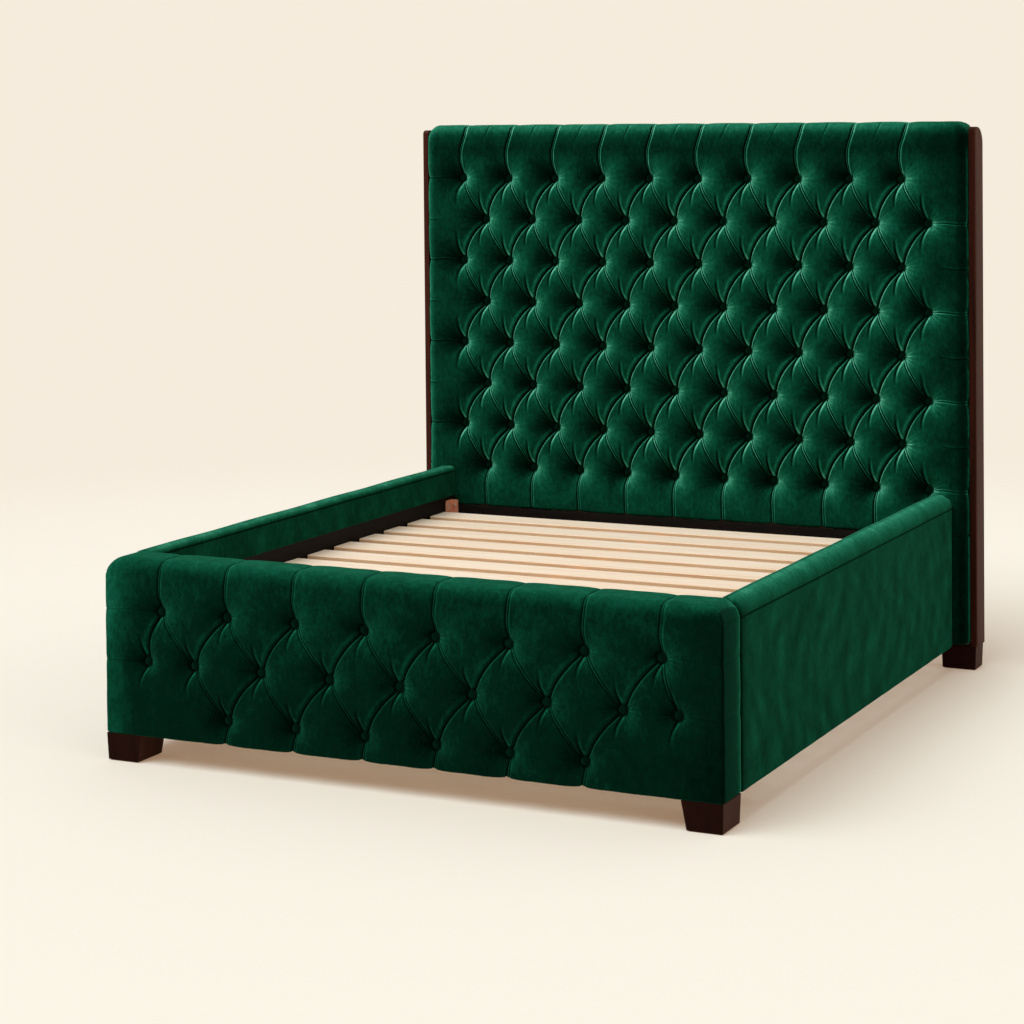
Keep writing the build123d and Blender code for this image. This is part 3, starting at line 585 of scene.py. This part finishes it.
def rays(x, z, rows):
    """Fine wrinkles that run out from each button, from -1 to 1."""
    made = np.zeros_like(x)
    window, onset = 110 * MM, 4 * MM
    for number, (bx, bz) in enumerate(sum(rows, [])):
        near = (np.abs(x - bx) < window) & (np.abs(z - bz) < window)
        dx, dz = x[near] - bx, z[near] - bz
        away = np.maximum(np.hypot(dx, dz) - BUTTON_RIM, 0)
        angle = np.arctan2(dz, dx)
        turn = 2.4 * number
        spread = RAY_COUNT * angle + 1.1 * np.sin(2 * angle + turn) + 0.7 * np.sin(5 * angle - turn) + turn
        fade = np.exp(-away / RAY_REACH) * unit(away / onset)
        made[near] += np.cos(spread) * fade * (0.25 + 0.75 * np.cos(angle) ** 2)
    return made


def pleat_folds(x, z, pleats):
    """The soft valleys and sharp creases along the pleats, in metres, and the painted highlights and painted
    shade along them.
    """
    valleys, creases, looks = np.zeros_like(x), np.zeros_like(x), np.zeros_like(x)
    window, onset = 60 * MM, 5 * MM
    for (sx, sz), end, kind in pleats:
        ex, ez = end[0] - sx, end[1] - sz
        length = hypot(ex, ez)
        share = ((x - sx) * ex + (z - sz) * ez) / length**2
        along = unit(share)
        off = np.hypot(x - sx - ex * along, z - sz - ez * along)
        near = off < window
        off, share, along = off[near], share[near], along[near]
        (strong, weak), bow, strands = FOLDS[kind]
        strength = strong + (weak - strong) * along
        bend = 4 * along * (1 - along)
        rightward = 1 if (ez > 0 or (ez == 0 and ex < 0)) else -1
        side = rightward * ((x[near] - sx) * ez - (z[near] - sz) * ex) / length + bow * MM * bend
        inside = unit(share * length / onset) * unit((1 - share) * length / onset)
        if kind in LONG_FOLDS:
            valley = PLEAT_DEPTH * strength * np.exp(-off / PLEAT_WIDTH)
            valleys[near] = np.maximum(valleys[near], valley)
        spread = 0.45 + 0.55 * np.sqrt(bend) if kind in LONG_FOLDS else 1
        for offset, width, depth, look in strands:
            strand = bell(side - offset * MM * spread, width * MM) * inside * strength
            creases[near] += depth * MM * strand
            looks[near] += look * strand
    return valleys, np.minimum(creases, CREASE_LIMIT), np.clip(looks, -1.2, 1)


def relief(x, z, rows, pleats, depth, drawn):
    """How far in the velvet lies, and its painted shading: painted shade on slopes that face right, painted
    highlights on slopes that face left, painted lines along folds and rays, and painted shadow rings round
    the buttons; drawn is how strongly slopes and folds turn it.
    """
    height = levelled(pits(x, z, rows, PIT_REACH))
    ahead, aside = LOOK_STEP
    behind = pits(x - ahead, z - aside, rows, LOOK_REACH)
    slope = depth * (behind - pits(x + ahead, z + aside, rows, LOOK_REACH)) / (2 * hypot(ahead, aside))
    valleys, creases, looks = pleat_folds(x, z, pleats)
    spokes = rays(x, z, rows)
    wander = np.sin(x * 31 + 2 * np.sin(z * 17)) * np.sin(z * 27 + 2 * np.sin(x * 13))
    sunk = depth * (1 - height) + (valleys + creases) * np.minimum(2 * height, 1)
    sunk += RAY_DEPTH * spokes + WANDER * wander
    # Painted shading: painted shade where slopes face right, painted highlights where they face left,
    # painted light and dark lines along the folds and rays
    painted_shading = drawn * (-np.tanh(SLOPE_SHADING * slope) - 0.4 * spokes + 0.8 * looks)
    return np.maximum(sunk, 0), painted_shading - 1.4 * button_shadow_rings(x, z, rows)


# Shells: the layout wrapped round a board with rolled edges


def wrap(x, z, shell):
    """Layout points wrapped round a shell: places, outward normals and in-plane directions."""
    ax, sign = np.abs(x), np.where(x < 0, -1.0, 1.0)
    corner, quarter = shell.corner_radius, pi / 2
    round_x, round_z = shell.half_width - corner, shell.top - corner
    side_x, low_z = shell.half_width - shell.side_roll, shell.bottom + shell.bottom_roll
    ux, uz = np.maximum(ax - round_x, 0), np.maximum(z - round_z, 0)
    wx, wz = np.maximum(ax - side_x, 0), np.maximum(low_z - z, 0)
    low = wz > 0
    px, pz = np.where(low, wx, ux), np.where(low, wz, uz)
    reach = np.maximum(px, pz)
    safe = np.maximum(reach, 1e-9)
    turn = np.where(pz >= px, quarter - quarter / 2 * px / safe, quarter / 2 * pz / safe)
    turn = np.where(reach > 0, turn, 0)
    other = np.where(low, shell.bottom_roll, shell.top_roll)
    roll = shell.side_roll + (other - shell.side_roll) * turn / quarter
    flat = np.where(low, 0, corner - roll)
    over = reach - flat
    rolled = unit(over / ROLL_SPAN) * quarter
    behind = unit((over - ROLL_SPAN) / BACK_SPAN)
    lower_share = unit(turn / quarter * 2 - 1)
    depth = shell.depth + np.where(low, (shell.bottom_depth - shell.depth) * lower_share, 0)
    spread = np.minimum(reach, flat) + roll * np.sin(rolled)
    core_x = np.minimum(ax, np.where(low, side_x, round_x))
    core_z = np.where(low, low_z, np.minimum(z, round_z))
    out_x, out_z = sign * np.cos(turn), np.sin(turn) * np.where(low, -1, 1)
    y = shell.crown + roll * (1 - np.cos(rolled)) + (depth - roll) * behind
    places = np.stack([sign * core_x + out_x * spread, y, core_z + out_z * spread], axis=-1)
    normals = np.stack([out_x * np.sin(rolled), -np.cos(rolled), out_z * np.sin(rolled)], axis=-1)
    return places, normals, np.stack([out_x, np.zeros_like(x), out_z], axis=-1)


def shell_mesh(name, layout, shell, sunk, bow):
    """The wrapped layout as a closed mesh: front, rolled edges, rear rings and inner faces."""
    points, faces = layout.welded()
    x, z = points[:, 0], points[:, 1]
    (depth, painted_shading), shift = sunk(x, z), bow(x, z)
    places, normals, outward = wrap(x - shift + leaning(x, z, shell), z + shift, shell)
    places = places - normals * depth[:, None]
    # Rolled edges are painted lighter where they face left and darker where they face right, and each shell
    # adds its own painted shade
    rolled = 2 * normals[:, 0] * np.abs(normals[:, 1])
    painted_shading = painted_shading - shell.edge_turn * rolled + shell.shade(places, normals)
    side, top = np.abs(x).max(), z.max()
    edge = 0.1 * MM
    left = np.where(x < -side + edge)[0]
    right = np.where(x > side - edge)[0]
    upper = np.where((z > top - edge) & (np.abs(x) < side - edge))[0]
    parts = (left[np.argsort(z[left])], upper[np.argsort(x[upper])], right[np.argsort(-z[right])])
    ring = np.concatenate(parts)
    bm = bmesh.new()
    verts = [bm.verts.new(place) for place in places]
    for face in faces:
        bm.faces.new([verts[i] for i in face])
    previous = [verts[i] for i in ring]
    for move in shell.rings:
        row = [bm.verts.new(move(places[i], outward[i])) for i in ring]
        for k in range(len(ring) - 1):
            bm.faces.new([previous[k], previous[k + 1], row[k + 1], row[k]])
        previous = row
    bmesh.ops.holes_fill(bm, edges=[e for e in bm.edges if e.is_boundary], sides=0)
    made = piece_from(bm, name)
    # A painted highlight line on the rear rings, where the outline faces right
    rear = shell.rear_look * unit(outward[ring, 0])
    set_painted_shading(made, np.concatenate([painted_shading, np.tile(rear, len(shell.rings))]))
    return made


def set_painted_shading(piece, values):
    """Stores the painted light and shade at each of a piece's points."""
    stored = piece.data.attributes.new(SHADING_ATTRIBUTE, "FLOAT", "POINT")
    stored.data.foreach_set("value", np.clip(values, -1, 1))


def placed(name, data):
    """A new object in the scene."""
    made = bpy.data.objects.new(name, data)
    bpy.context.collection.objects.link(made)
    return made


def piece_from(bm, name, closed=True):
    """A scene object made from a bmesh; a closed one is smooth, with its faces turned outward."""
    if closed:
        bmesh.ops.recalc_face_normals(bm, faces=bm.faces)
    mesh = bpy.data.meshes.new(name)
    bm.to_mesh(mesh)
    bm.free()
    for polygon in mesh.polygons:
        polygon.use_smooth = closed
    return placed(name, mesh)


def dress(piece, finish, replaced):
    """Finishes a velvet piece: its material, its body, and the node that it stands for."""
    piece.data.materials.append(finish)
    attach(piece, "root")
    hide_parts(replaced)


def smooth(value, start, end):
    """0 at the start, 1 at the end, and an even curve between."""
    share = unit((value - start) / (end - start))
    return share * share * (3 - 2 * share)


def leaning(x, z, shell):
    """How far to the right the pleats lean where they run over the top."""
    inner = smooth(np.abs(x), shell.half_width - 60 * MM, shell.half_width - 160 * MM)
    return shell.lean * smooth(z, shell.top - 110 * MM, shell.top - 5 * MM) * inner


def bowed(rows, height, shell):
    """Between their buttons, pleats bow as far up and to the left as this gives."""
    held, fade = 55 * MM, 120 * MM

    def bow(x, z):
        free = np.ones_like(x)
        for bx, bz in sum(rows, []):
            free *= 1 - bell(np.hypot(x - bx, z - bz), held)
        inside = unit((shell.top - shell.top_roll - z) / fade)
        inside *= unit((z - shell.bottom) / fade)
        inside *= unit((shell.half_width - 40 * MM - np.abs(x)) / (60 * MM))
        return height * free * inside
    return bow


def ring_at(y, inset, floor, window=None):
    """A rear ring: the outline drawn in by inset, or squared to a window, at depth y."""
    def move(place, outward):
        moved = place - outward * inset
        moved[1] = y
        moved[2] = max(moved[2], floor)
        if window:
            moved[0] = min(max(moved[0], -window[0]), window[0])
            moved[2] = min(moved[2], window[1])
        return moved
    return move


def pad_shell(low, high, panel, **values):
    """A tufted pad's shell: measures from its box and its board's, and its own values."""
    return SimpleNamespace(
        half_width=high[0], top=high[2], bottom=low[2], crown=low[1], corner_radius=58 * MM,
        bottom_depth=panel[0][1] - low[1], skin=high[0] - panel[1][0], **values,
    )


def flat_ends(shell):
    """The right-hand, upper and lower ends of a shell's flat layout."""
    return (
        shell.half_width - shell.side_roll + EDGE_SPAN,
        shell.top - shell.top_roll + EDGE_SPAN,
        shell.bottom + shell.bottom_roll - EDGE_SPAN,
    )


def make_headboard():
    """The headboard pad, from its crowns back round the frame."""
    low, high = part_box("headboard_pad")
    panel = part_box("headboard_panel")
    shell = pad_shell(
        low, high, panel, side_roll=40 * MM, top_roll=30 * MM, bottom_roll=9 * MM,
        depth=high[1] - low[1], lean=20 * MM, edge_turn=EDGE_SHADING, rear_look=0,
    )
    shell.rings = [ring_at(y, shell.skin, low[2]) for y in (high[1], panel[0][1])]
    rows = headboard_rows()
    layout, pleats = headboard_layout(rows, *flat_ends(shell))
    pleats += small_folds(rows, 104 * MM)
    pleats += edge_hints(rows, high[0] - shell.side_roll, high[2] - shell.top_roll)

    def shade(places, normals):
        """Painted light along the top with a band of painted shade below it, painted shade towards the right
        edge, a painted highlight line on the right-hand roll and painted light on the left-hand roll.
        """
        x, y, z = places.T
        to_right = smooth(x, high[0] - 240 * MM, high[0] - 30 * MM)
        top_light = 0.52 * smooth(z, high[2] - 52 * MM, high[2] - 6 * MM)
        shade_below_top = 0.2 * bell(z - high[2] + 88 * MM, 34 * MM)
        rim = RIM_HIGHLIGHT * bell(y - low[1] - RIM_BACK, RIM_WIDTH) * (normals[:, 0] > 0.5)
        rim *= smooth(z, high[2] - 70 * MM, high[2] - 110 * MM)
        left_roll_highlight = 0.4 * smooth(-normals[:, 0], 0.5, 0.9)
        return -0.1 + HEAD_EDGE_SHADE * to_right + top_light - shade_below_top + rim + left_roll_highlight

    def sunk(x, z):
        """How far in the velvet lies, also in the seam down each side, and its painted shading."""
        inward, painted_shading = relief(x, z, rows, pleats, HEAD_TUFT, drawn=1.36)
        seam = high[0] - shell.side_roll + 0.62 * ROLL_SPAN
        inward += 1.6 * MM * bell(np.abs(x) - seam, 2.2 * MM)
        return inward, painted_shading

    shell.shade = shade
    pad = shell_mesh("headboard_velvet", layout, shell, sunk, bowed(rows, 6.5 * MM, shell))
    dress(pad, velvet, "headboard_pad")
    make_buttons("headboard_button_caps", rows, low[1] + HEAD_TUFT, "headboard_buttons")


def make_footboard():
    """The footboard's padded cover, tufted in front and plain over the top and inside."""
    low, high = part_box("footboard_pad")
    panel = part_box("footboard_front_panel")
    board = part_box("footboard_inner_board")
    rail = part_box("right_rail_board")
    rear_round = 18 * MM
    shell = pad_shell(
        low, high, panel, side_roll=12 * MM, top_roll=42 * MM, bottom_roll=7 * MM,
        depth=high[1] - low[1] - rear_round, lean=6 * MM, edge_turn=0.08, rear_look=0.6,
    )
    window = (rail[0][0], BARE_BOARD_TOP)
    rings = []
    for share in (0.25, 0.5, 0.75, 1.0):
        angle = share * pi / 2
        behind = high[1] - rear_round * (1 - sin(angle))
        rings.append(ring_at(behind, rear_round * (1 - cos(angle)), low[2]))
    shell.rings = rings + [
        ring_at(high[1], rear_round, low[2], window),
        ring_at(board[1][1], rear_round, low[2], window),
        ring_at(board[1][1], shell.skin, low[2]),
        ring_at(panel[0][1], shell.skin, low[2]),
    ]
    rows = footboard_rows()
    layout, pleats = footboard_layout(rows, *flat_ends(shell))
    pleats += small_folds(rows, 84 * MM)

    def sunk(x, z):
        """How far in the velvet lies, also in the seams down the corners and along the top, and its painted
        shading, with painted shade in the corner seams.
        """
        inward, painted_shading = relief(x, z, rows, pleats, FOOT_TUFT, drawn=0.7)
        corner = high[0] - shell.side_roll + 0.5 * ROLL_SPAN
        below = unit((high[2] - 62 * MM - z) / (6 * MM))
        corner_seam = bell(np.abs(x) - corner, 1.6 * MM) * below
        top_seam = bell(z - (high[2] - shell.top_roll + 2 * MM), 3 * MM)
        inward += 1.4 * MM * corner_seam
        inward += 1.0 * MM * top_seam
        # Painted shade in the corner seams
        return inward, painted_shading - 0.3 * corner_seam

    def shade(places, normals):
        """Painted shade, darker than the headboard, most so low down, at the right end and on the side's
        front; painted light at the left end and on the top, and a painted highlight line along the side's
        rear edge.
        """
        x, y, z = places.T
        front = 1 - np.maximum(normals[:, 2], 0)
        low_down = smooth(z, high[2] - 60 * MM, low[2] + 40 * MM)
        to_right = smooth(x, high[0] - 190 * MM, high[0] - 20 * MM) * (normals[:, 0] < 0.7)
        side = normals[:, 0] > 0.7
        along_side = smooth(y, low[1] + 16 * MM, high[1] - 10 * MM)
        to_left = smooth(-x, high[0] - 130 * MM, high[0] - 10 * MM)
        top_light = 0.12 * np.maximum(normals[:, 2], 0) ** 2
        on_front = -0.3 - 0.24 * low_down - 0.28 * to_right + 0.5 * to_left
        on_side = -0.9 + 0.62 * along_side + 0.6 * bell(high[1] - 12 * MM - y, 8 * MM)
        return np.where(side, on_side, front * on_front) + top_light

    shell.shade = shade
    pad = shell_mesh("footboard_velvet", layout, shell, sunk, bowed(rows, 6 * MM, shell))
    dress(pad, velvet, "footboard_pad")
    make_buttons("footboard_button_caps", rows, low[1] + FOOT_TUFT, "footboard_buttons")


def make_buttons(name, rows, seat, replaced):
    """Covered buttons with a domed face and a tucked rim, one at each place."""
    bm = bmesh.new()
    turns = [2 * pi * k / BUTTON_SIDES for k in range(BUTTON_SIDES)]
    (_, crown_height), *profile = BUTTON_PROFILE
    for x, z in sum(rows, []):
        rings = []
        for radius, height in profile:
            y = seat - height * MM
            places = [(x + radius * MM * cos(turn), y, z + radius * MM * sin(turn)) for turn in turns]
            rings.append([bm.verts.new(place) for place in places])
        crown = bm.verts.new((x, seat - crown_height * MM, z))
        for k in range(BUTTON_SIDES):
            after = (k + 1) % BUTTON_SIDES
            bm.faces.new([crown, rings[0][k], rings[0][after]])
            for inner, outer in zip(rings, rings[1:]):
                bm.faces.new([inner[k], outer[k], outer[after], inner[after]])
        bm.faces.new(rings[-1])
    dress(piece_from(bm, name), button_velvet, replaced)


# Plain padded pieces: a closed section swept along the piece


def arc(centre, radius, start, end, count):
    """Points on an arc, in degrees."""
    angles = np.radians(np.linspace(start, end, count))
    return [(centre[0] + radius * cos(a), centre[1] + radius * sin(a)) for a in angles]


def stretch_points(points, longest):
    """Adds points along long straight stretches of a closed outline."""
    made = []
    for (ax, az), (bx, bz) in zip(points, points[1:] + points[:1]):
        count = max(1, ceil(hypot(bx - ax, bz - az) / longest))
        made += [(ax + (bx - ax) * k / count, az + (bz - az) * k / count) for k in range(count)]
    return made


def off_middle(low, high):
    """How far a box's inner and outer sides lie from the bed's middle."""
    return sorted((abs(low[0]), abs(high[0])))


def tube(name, bm, rings, painted_shadings):
    """A piece from rings of points, each joined to the next, and closed at both ends."""
    count = len(rings[0])
    for first, second in zip(rings, rings[1:]):
        for k in range(count):
            after = (k + 1) % count
            bm.faces.new([first[k], first[after], second[after], second[k]])
    bm.faces.new(rings[0])
    bm.faces.new(rings[-1])
    made = piece_from(bm, name)
    set_painted_shading(made, np.array(painted_shadings))
    return made


def quarter_turn(radius):
    """How far along and how far in the points of a rounded end lie, from its face on."""
    return [
        (radius * (1 - cos(turn)), radius * (1 - sin(turn)))
        for turn in np.linspace(0, pi / 2, 6)
    ]


# The sewn seams of a rail in section: out from the face and up from the seam's line, in mm
OUTER_SEAM = ((0, -7), (0, -4), (-1, -2), (-3.6, 0), (-0.8, 1.6), (0.5, 3.6))
INNER_SEAM = ((0.8, 1.4), (3.2, 0), (0.8, -1.6), (0, -4))


def make_rail(name, side):
    """A side rail's cover: plain outside, rounded top, inner lip, and a sewn seam on both sides."""
    low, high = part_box(f"{name}_rail_pad")
    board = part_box(f"{name}_rail_board")
    inner, half = off_middle(low, high)
    board_in, board_out = off_middle(*board)
    board_top = board[1][2]
    top, bottom = high[2], low[2]
    low_round, outer_round, inner_round = 5 * MM, 46 * MM, 20 * MM
    seam, seam_in = top - 52 * MM, top - 23 * MM
    outline = [(board_out, bottom), (half - low_round, bottom)]
    outline += arc((half - low_round, bottom + low_round), low_round, -90, 0, 5)
    outline += [(half + out * MM, seam + up * MM) for out, up in OUTER_SEAM]
    outline += arc((half - outer_round, top - outer_round), outer_round, 0, 90, 9)
    outline += arc((inner + inner_round, top - inner_round), inner_round, 90, 180, 7)
    outline += [(inner + out * MM, seam_in + up * MM) for out, up in INNER_SEAM]
    outline += [
        (inner, INNER_VELVET_END + 3 * MM), (inner + 1.5 * MM, INNER_VELVET_END),
        (board_in, INNER_VELVET_END), (board_in, board_top), (board_out, board_top),
    ]

    def look(px, pz):
        """The painted shading at a point of the outline: painted shade in the seams and down the sides,
        painted light over the top.
        """
        outer = px > (half + inner) / 2
        line = seam if outer else seam_in
        roll = unit((pz - line) / (18 * MM))
        rim = unit((px - inner) / (half - inner))
        lit = 0.85 * (1 - rim**1.6) * roll if outer else 0.5 * roll
        plain = -0.2 if outer else -0.14
        return plain * (1 - roll) + lit - 0.9 * bell(pz - line, 2 * MM)

    start, end = low[1], high[1]
    ease, front_share, count = 13 * MM, 0.4, 120
    eased = quarter_turn(ease)
    stations = [(start + front_share * along, front_share * inset) for along, inset in eased]
    stations += [(start + ease + (end - start - 2 * ease) * k / count, 0) for k in range(1, count)]
    stations += [(end - along, inset) for along, inset in eased[::-1]]
    reach = (inner, half, top, bottom)
    cover = swept(f"{name}_rail_velvet", stretch_points(outline, 16 * MM), stations, side, reach, look)
    dress(cover, velvet, f"{name}_rail_pad")


def rail_waves(y, z):
    """A broad wave and a finer wrinkle of a rail's velvet, each from -1 to 1."""
    wave = sin(y * 9 + 3 * sin(z * 11)) * sin(z * 19 + 2 * sin(y * 5))
    wrinkle = sin(y * 41 + 2.2 * sin(z * 8 + y * 3)) * sin(y * 5.3 + z * 6)
    return wave, wrinkle


def rail_streaks(y, z):
    """Where a rail's nap is brushed a little lighter or darker."""
    steep = sin(y * 57 + 4 * sin(z * 9 + y * 2.1)) * sin(y * 17 + 3 * z)
    crossed = sin(y * 33 + 3 * sin(z * 13 + y * 5)) * sin(z * 23 + 2 * sin(y * 7))
    return 0.1 * steep + 0.13 * crossed


def swept(name, outline, stations, side, reach, look):
    """A closed outline swept along Y, drawn in at its ends, with a rounded head end and soft wrinkles."""
    inner, half, top, bottom = reach
    centre_x, centre_z = half - 32 * MM, (top + bottom) / 2
    start, end = stations[0][0], stations[-1][0]
    corner = 52 * MM
    bm = bmesh.new()
    rings, painted_shadings = [], []
    for y, inset in stations:
        ring = []
        past = max(y - (end - corner), 0)
        drop = corner - sqrt(corner**2 - min(past, corner) ** 2)
        lowest = bottom + 0.35 * drop
        # Painted shade at the rail's front end, next to the footboard
        front_end_shade = 0.3 * exp(-(y - start) / (45 * MM))
        for px, pz in outline:
            qx = px - inset * np.clip((px - centre_x) / (25 * MM), -0.4, 1)
            qz = pz - inset * np.clip((pz - centre_z) / (60 * MM), -1, 1)
            highest = top - drop * unit((px - inner) / (40 * MM))
            qz = min(max(qz, lowest), highest)
            below = unit((top - 60 * MM - pz) / (60 * MM))
            on_face = unit((px - half + 30 * MM) / (20 * MM))
            on_top = unit((pz - top + 60 * MM) / (40 * MM))
            wave, wrinkle = rail_waves(y, pz)
            qx += (0.7 * wave + 0.3 * wrinkle * below) * MM * min(on_face + on_top, 1)
            ripple = sin(y * 13 + px * 40) * unit((pz - top + 30 * MM) / (20 * MM))
            qz += 0.7 * MM * ripple
            ring.append(bm.verts.new((side * qx, y, min(qz, top))))
            streaks = rail_streaks(y, pz) * (0.4 + 0.6 * below)
            # A painted highlight on the rounded head end of the rail's outer part
            rounded = px > half - 30 * MM and y > 0
            ends = 0.55 * unit(inset / (9 * MM)) if rounded else 0
            painted_shadings.append(look(px, pz) + streaks + ends - front_end_shade)
        rings.append(ring)
    return tube(name, bm, rings, painted_shadings)


def make_leg_pad(name, side):
    """The padded strip beside the rail's end, rounded in front like the headboard above it."""
    node_name = f"{name}_headboard_leg_pad"
    low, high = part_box(node_name)
    inner, outer = off_middle(low, high)
    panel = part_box("headboard_panel")
    panel_side, panel_front = panel[1][0], panel[0][1]
    front_round, inner_round, ease, side_ease = 40 * MM, 6 * MM, 14 * MM, 9 * MM
    outline = [(inner, panel_front), (inner, low[1] + inner_round)]
    outline += arc((inner + inner_round, low[1] + inner_round), inner_round, 180, 270, 5)
    outline += arc((outer - front_round, low[1] + front_round), front_round, 270, 360, 12)
    outline += [(outer, high[1]), (panel_side, high[1]), (panel_side, panel_front)]
    outline = stretch_points(outline, 14 * MM)
    count = 24
    levels = [(low[2] + up, inset) for up, inset in quarter_turn(ease)]
    levels += [(low[2] + ease + (high[2] - low[2] - ease) * k / count, 0) for k in range(1, count + 1)]
    hair = 0.1 * MM
    bm = bmesh.new()
    rings, painted_shadings = [], []
    for z, inset in levels:
        ring = []
        for px, py in outline:
            rounding = unit((px - outer + front_round) / front_round)
            beside_frame = px < panel_side + hair and py > panel_front - hair
            drawn_in = 0 if beside_frame else min(inset, side_ease) * rounding
            drawn_back = 0.8 * inset if py < low[1] + front_round else 0
            ring.append(bm.verts.new((side * (px - drawn_in), py + drawn_back, z)))
            # Painted light on the left strip's rounded front and painted shade on the right one's, and on
            # the right more painted shade with a painted highlight line beside the post
            look = -side * EDGE_SHADING * sin(pi * rounding)
            if side > 0:
                rim = bell(py - low[1] - RIM_BACK, RIM_WIDTH) if px > outer - 30 * MM else 0
                look += HEAD_EDGE_SHADE - 0.08 + RIM_HIGHLIGHT * rim
            painted_shadings.append(look)
        rings.append(ring)
    strip = tube(f"{name}_leg_velvet", bm, rings, painted_shadings)
    dress(strip, velvet, node_name)


def finish_nodes():
    """Materials for the frame's own rigid pieces."""
    finishes = (
        (("_post",), post_wood),
        (("left_post",), left_post_wood_lit),
        (("front_foot", "head_foot"), foot_wood),
        (("slat_",), slat_wood),
        (("rail_board", "inner_board", "cross_board", "ledger", "packing"), board_black),
        (("corner_bracket",), copper_coat),
        (("screws", "bolts", "hanger"), zinc_plate),
        (("back_cover",), lining_cloth),
        (("felt",), felt_cloth),
    )
    for name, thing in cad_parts.items():
        chosen = raw_timber
        for words, finish in finishes:
            if any(word in name for word in words):
                chosen = finish
        for slot in thing.material_slots:
            slot.material = chosen


# Stage, light and camera

FLOOR_GLOW = (0.23, 0.125, 0.065, 1)
BACKDROP = linear((246, 236, 221))
# Where the floor starts to fade, and where it has become the backdrop, from the bed's middle
FLOOR_FADE = (2.6, 6.5)
FLOOR_HALF = 60


def shown(owner):
    """1 for what the camera sees, also in a reflection, and 0 for light on the bed."""
    path = node(owner, "ShaderNodeLightPath").outputs
    either = {0: path["Is Camera Ray"], 1: path["Is Glossy Ray"]}
    return node(owner, "ShaderNodeMath", either, operation="MAXIMUM").outputs[0]


def finished(owner, kind, first, second, factor):
    """Gives a material or world its surface: one shader mixed into another by a factor."""
    mix = node(owner, "ShaderNodeMixShader", {0: factor, 1: first.outputs[0], 2: second.outputs[0]})
    plug(owner, owner.node_tree.nodes[f"{kind} Output"], {"Surface": mix.outputs[0]})


def make_floor():
    """A pale floor that takes the bed's shadow and fades into the same pale backdrop."""
    made, shader = material("floor_paper", {
        "Base Color": linear((213, 223, 219)), "Roughness": 0.9, "Specular IOR Level": 0.1,
    })
    place = node(made, "ShaderNodeNewGeometry").outputs["Position"]
    length = node(made, "ShaderNodeVectorMath", {0: place}, operation="LENGTH").outputs["Value"]
    start, end = FLOOR_FADE
    far = node(made, "ShaderNodeMapRange", {
        "Value": length, "From Min": start, "From Max": end,
    }, interpolation_type="SMOOTHSTEP")
    pale = node(made, "ShaderNodeEmission", {"Color": FLOOR_GLOW, "Strength": shown(made)})
    lit = node(made, "ShaderNodeAddShader", {0: shader.outputs[0], 1: pale.outputs[0]})
    backdrop = node(made, "ShaderNodeEmission", {"Color": BACKDROP})
    finished(made, "Material", lit, backdrop, far.outputs[0])
    bm = bmesh.new()
    bmesh.ops.create_grid(bm, x_segments=1, y_segments=1, size=FLOOR_HALF)
    floor = piece_from(bm, "floor", closed=False)
    floor.data.materials.append(made)


def make_world():
    """A pale backdrop to the camera, and a dimmer even light on the bed."""
    world = bpy.data.worlds.new("studio")
    bpy.context.scene.world = world
    world.use_nodes = True
    backdrop = world.node_tree.nodes["Background"]
    plug(world, backdrop, {"Color": BACKDROP, "Strength": 1.0})
    light = node(world, "ShaderNodeBackground", {"Color": (1.0, 0.94, 0.88, 1), "Strength": 0.55})
    finished(world, "World", light, backdrop, shown(world))


def make_sun(name, towards, strength, spread, colour=(1, 1, 1)):
    """A far soft light; towards points from the bed to it, and spread is in degrees."""
    lamp = bpy.data.lights.new(name, "SUN")
    lamp.color = colour
    lamp.energy = strength
    lamp.angle = radians(spread)
    placed(name, lamp).rotation_euler = Vector(towards).to_track_quat("Z", "Y").to_euler()


def make_camera():
    """The photograph's camera: its place, its small tilt, and a shift for the horizon's height."""
    data = bpy.data.cameras.new("camera")
    data.sensor_width = SENSOR_WIDTH_MM
    data.lens = FOCAL_PIXELS / PHOTO_SIDE * SENSOR_WIDTH_MM
    data.shift_y = -HORIZON_RISE_PIXELS / PHOTO_SIDE
    data.clip_end = 200
    level = Vector((-sin(CAMERA_YAW), cos(CAMERA_YAW), 0))
    right = Vector((cos(CAMERA_YAW), sin(CAMERA_YAW), 0))
    skyward = Vector((0, 0, 1))
    forward = level * cos(CAMERA_PITCH) - skyward * sin(CAMERA_PITCH)
    up = level * sin(CAMERA_PITCH) + skyward * cos(CAMERA_PITCH)
    image_right = right * cos(CAMERA_ROLL) + up * sin(CAMERA_ROLL)
    image_up = up * cos(CAMERA_ROLL) - right * sin(CAMERA_ROLL)
    turn = Matrix((image_right, image_up, -forward)).transposed()
    camera = placed("camera", data)
    camera.matrix_world = Matrix.Translation(CAMERA_PLACE) @ turn.to_4x4()
    bpy.context.scene.camera = camera


finish_nodes()
make_headboard()
make_footboard()
for side_name, side_sign in (("left", -1), ("right", 1)):
    make_rail(side_name, side_sign)
    make_leg_pad(side_name, side_sign)
make_floor()
make_world()
make_sun("key", (-0.26, -0.43, 0.86), 1.95, 48)
make_sun("fill", (0.9, -0.35, 0.25), 0.5, 40, (1.0, 0.86, 0.76))
make_camera()
bpy.context.scene.view_settings.view_transform = "Standard"
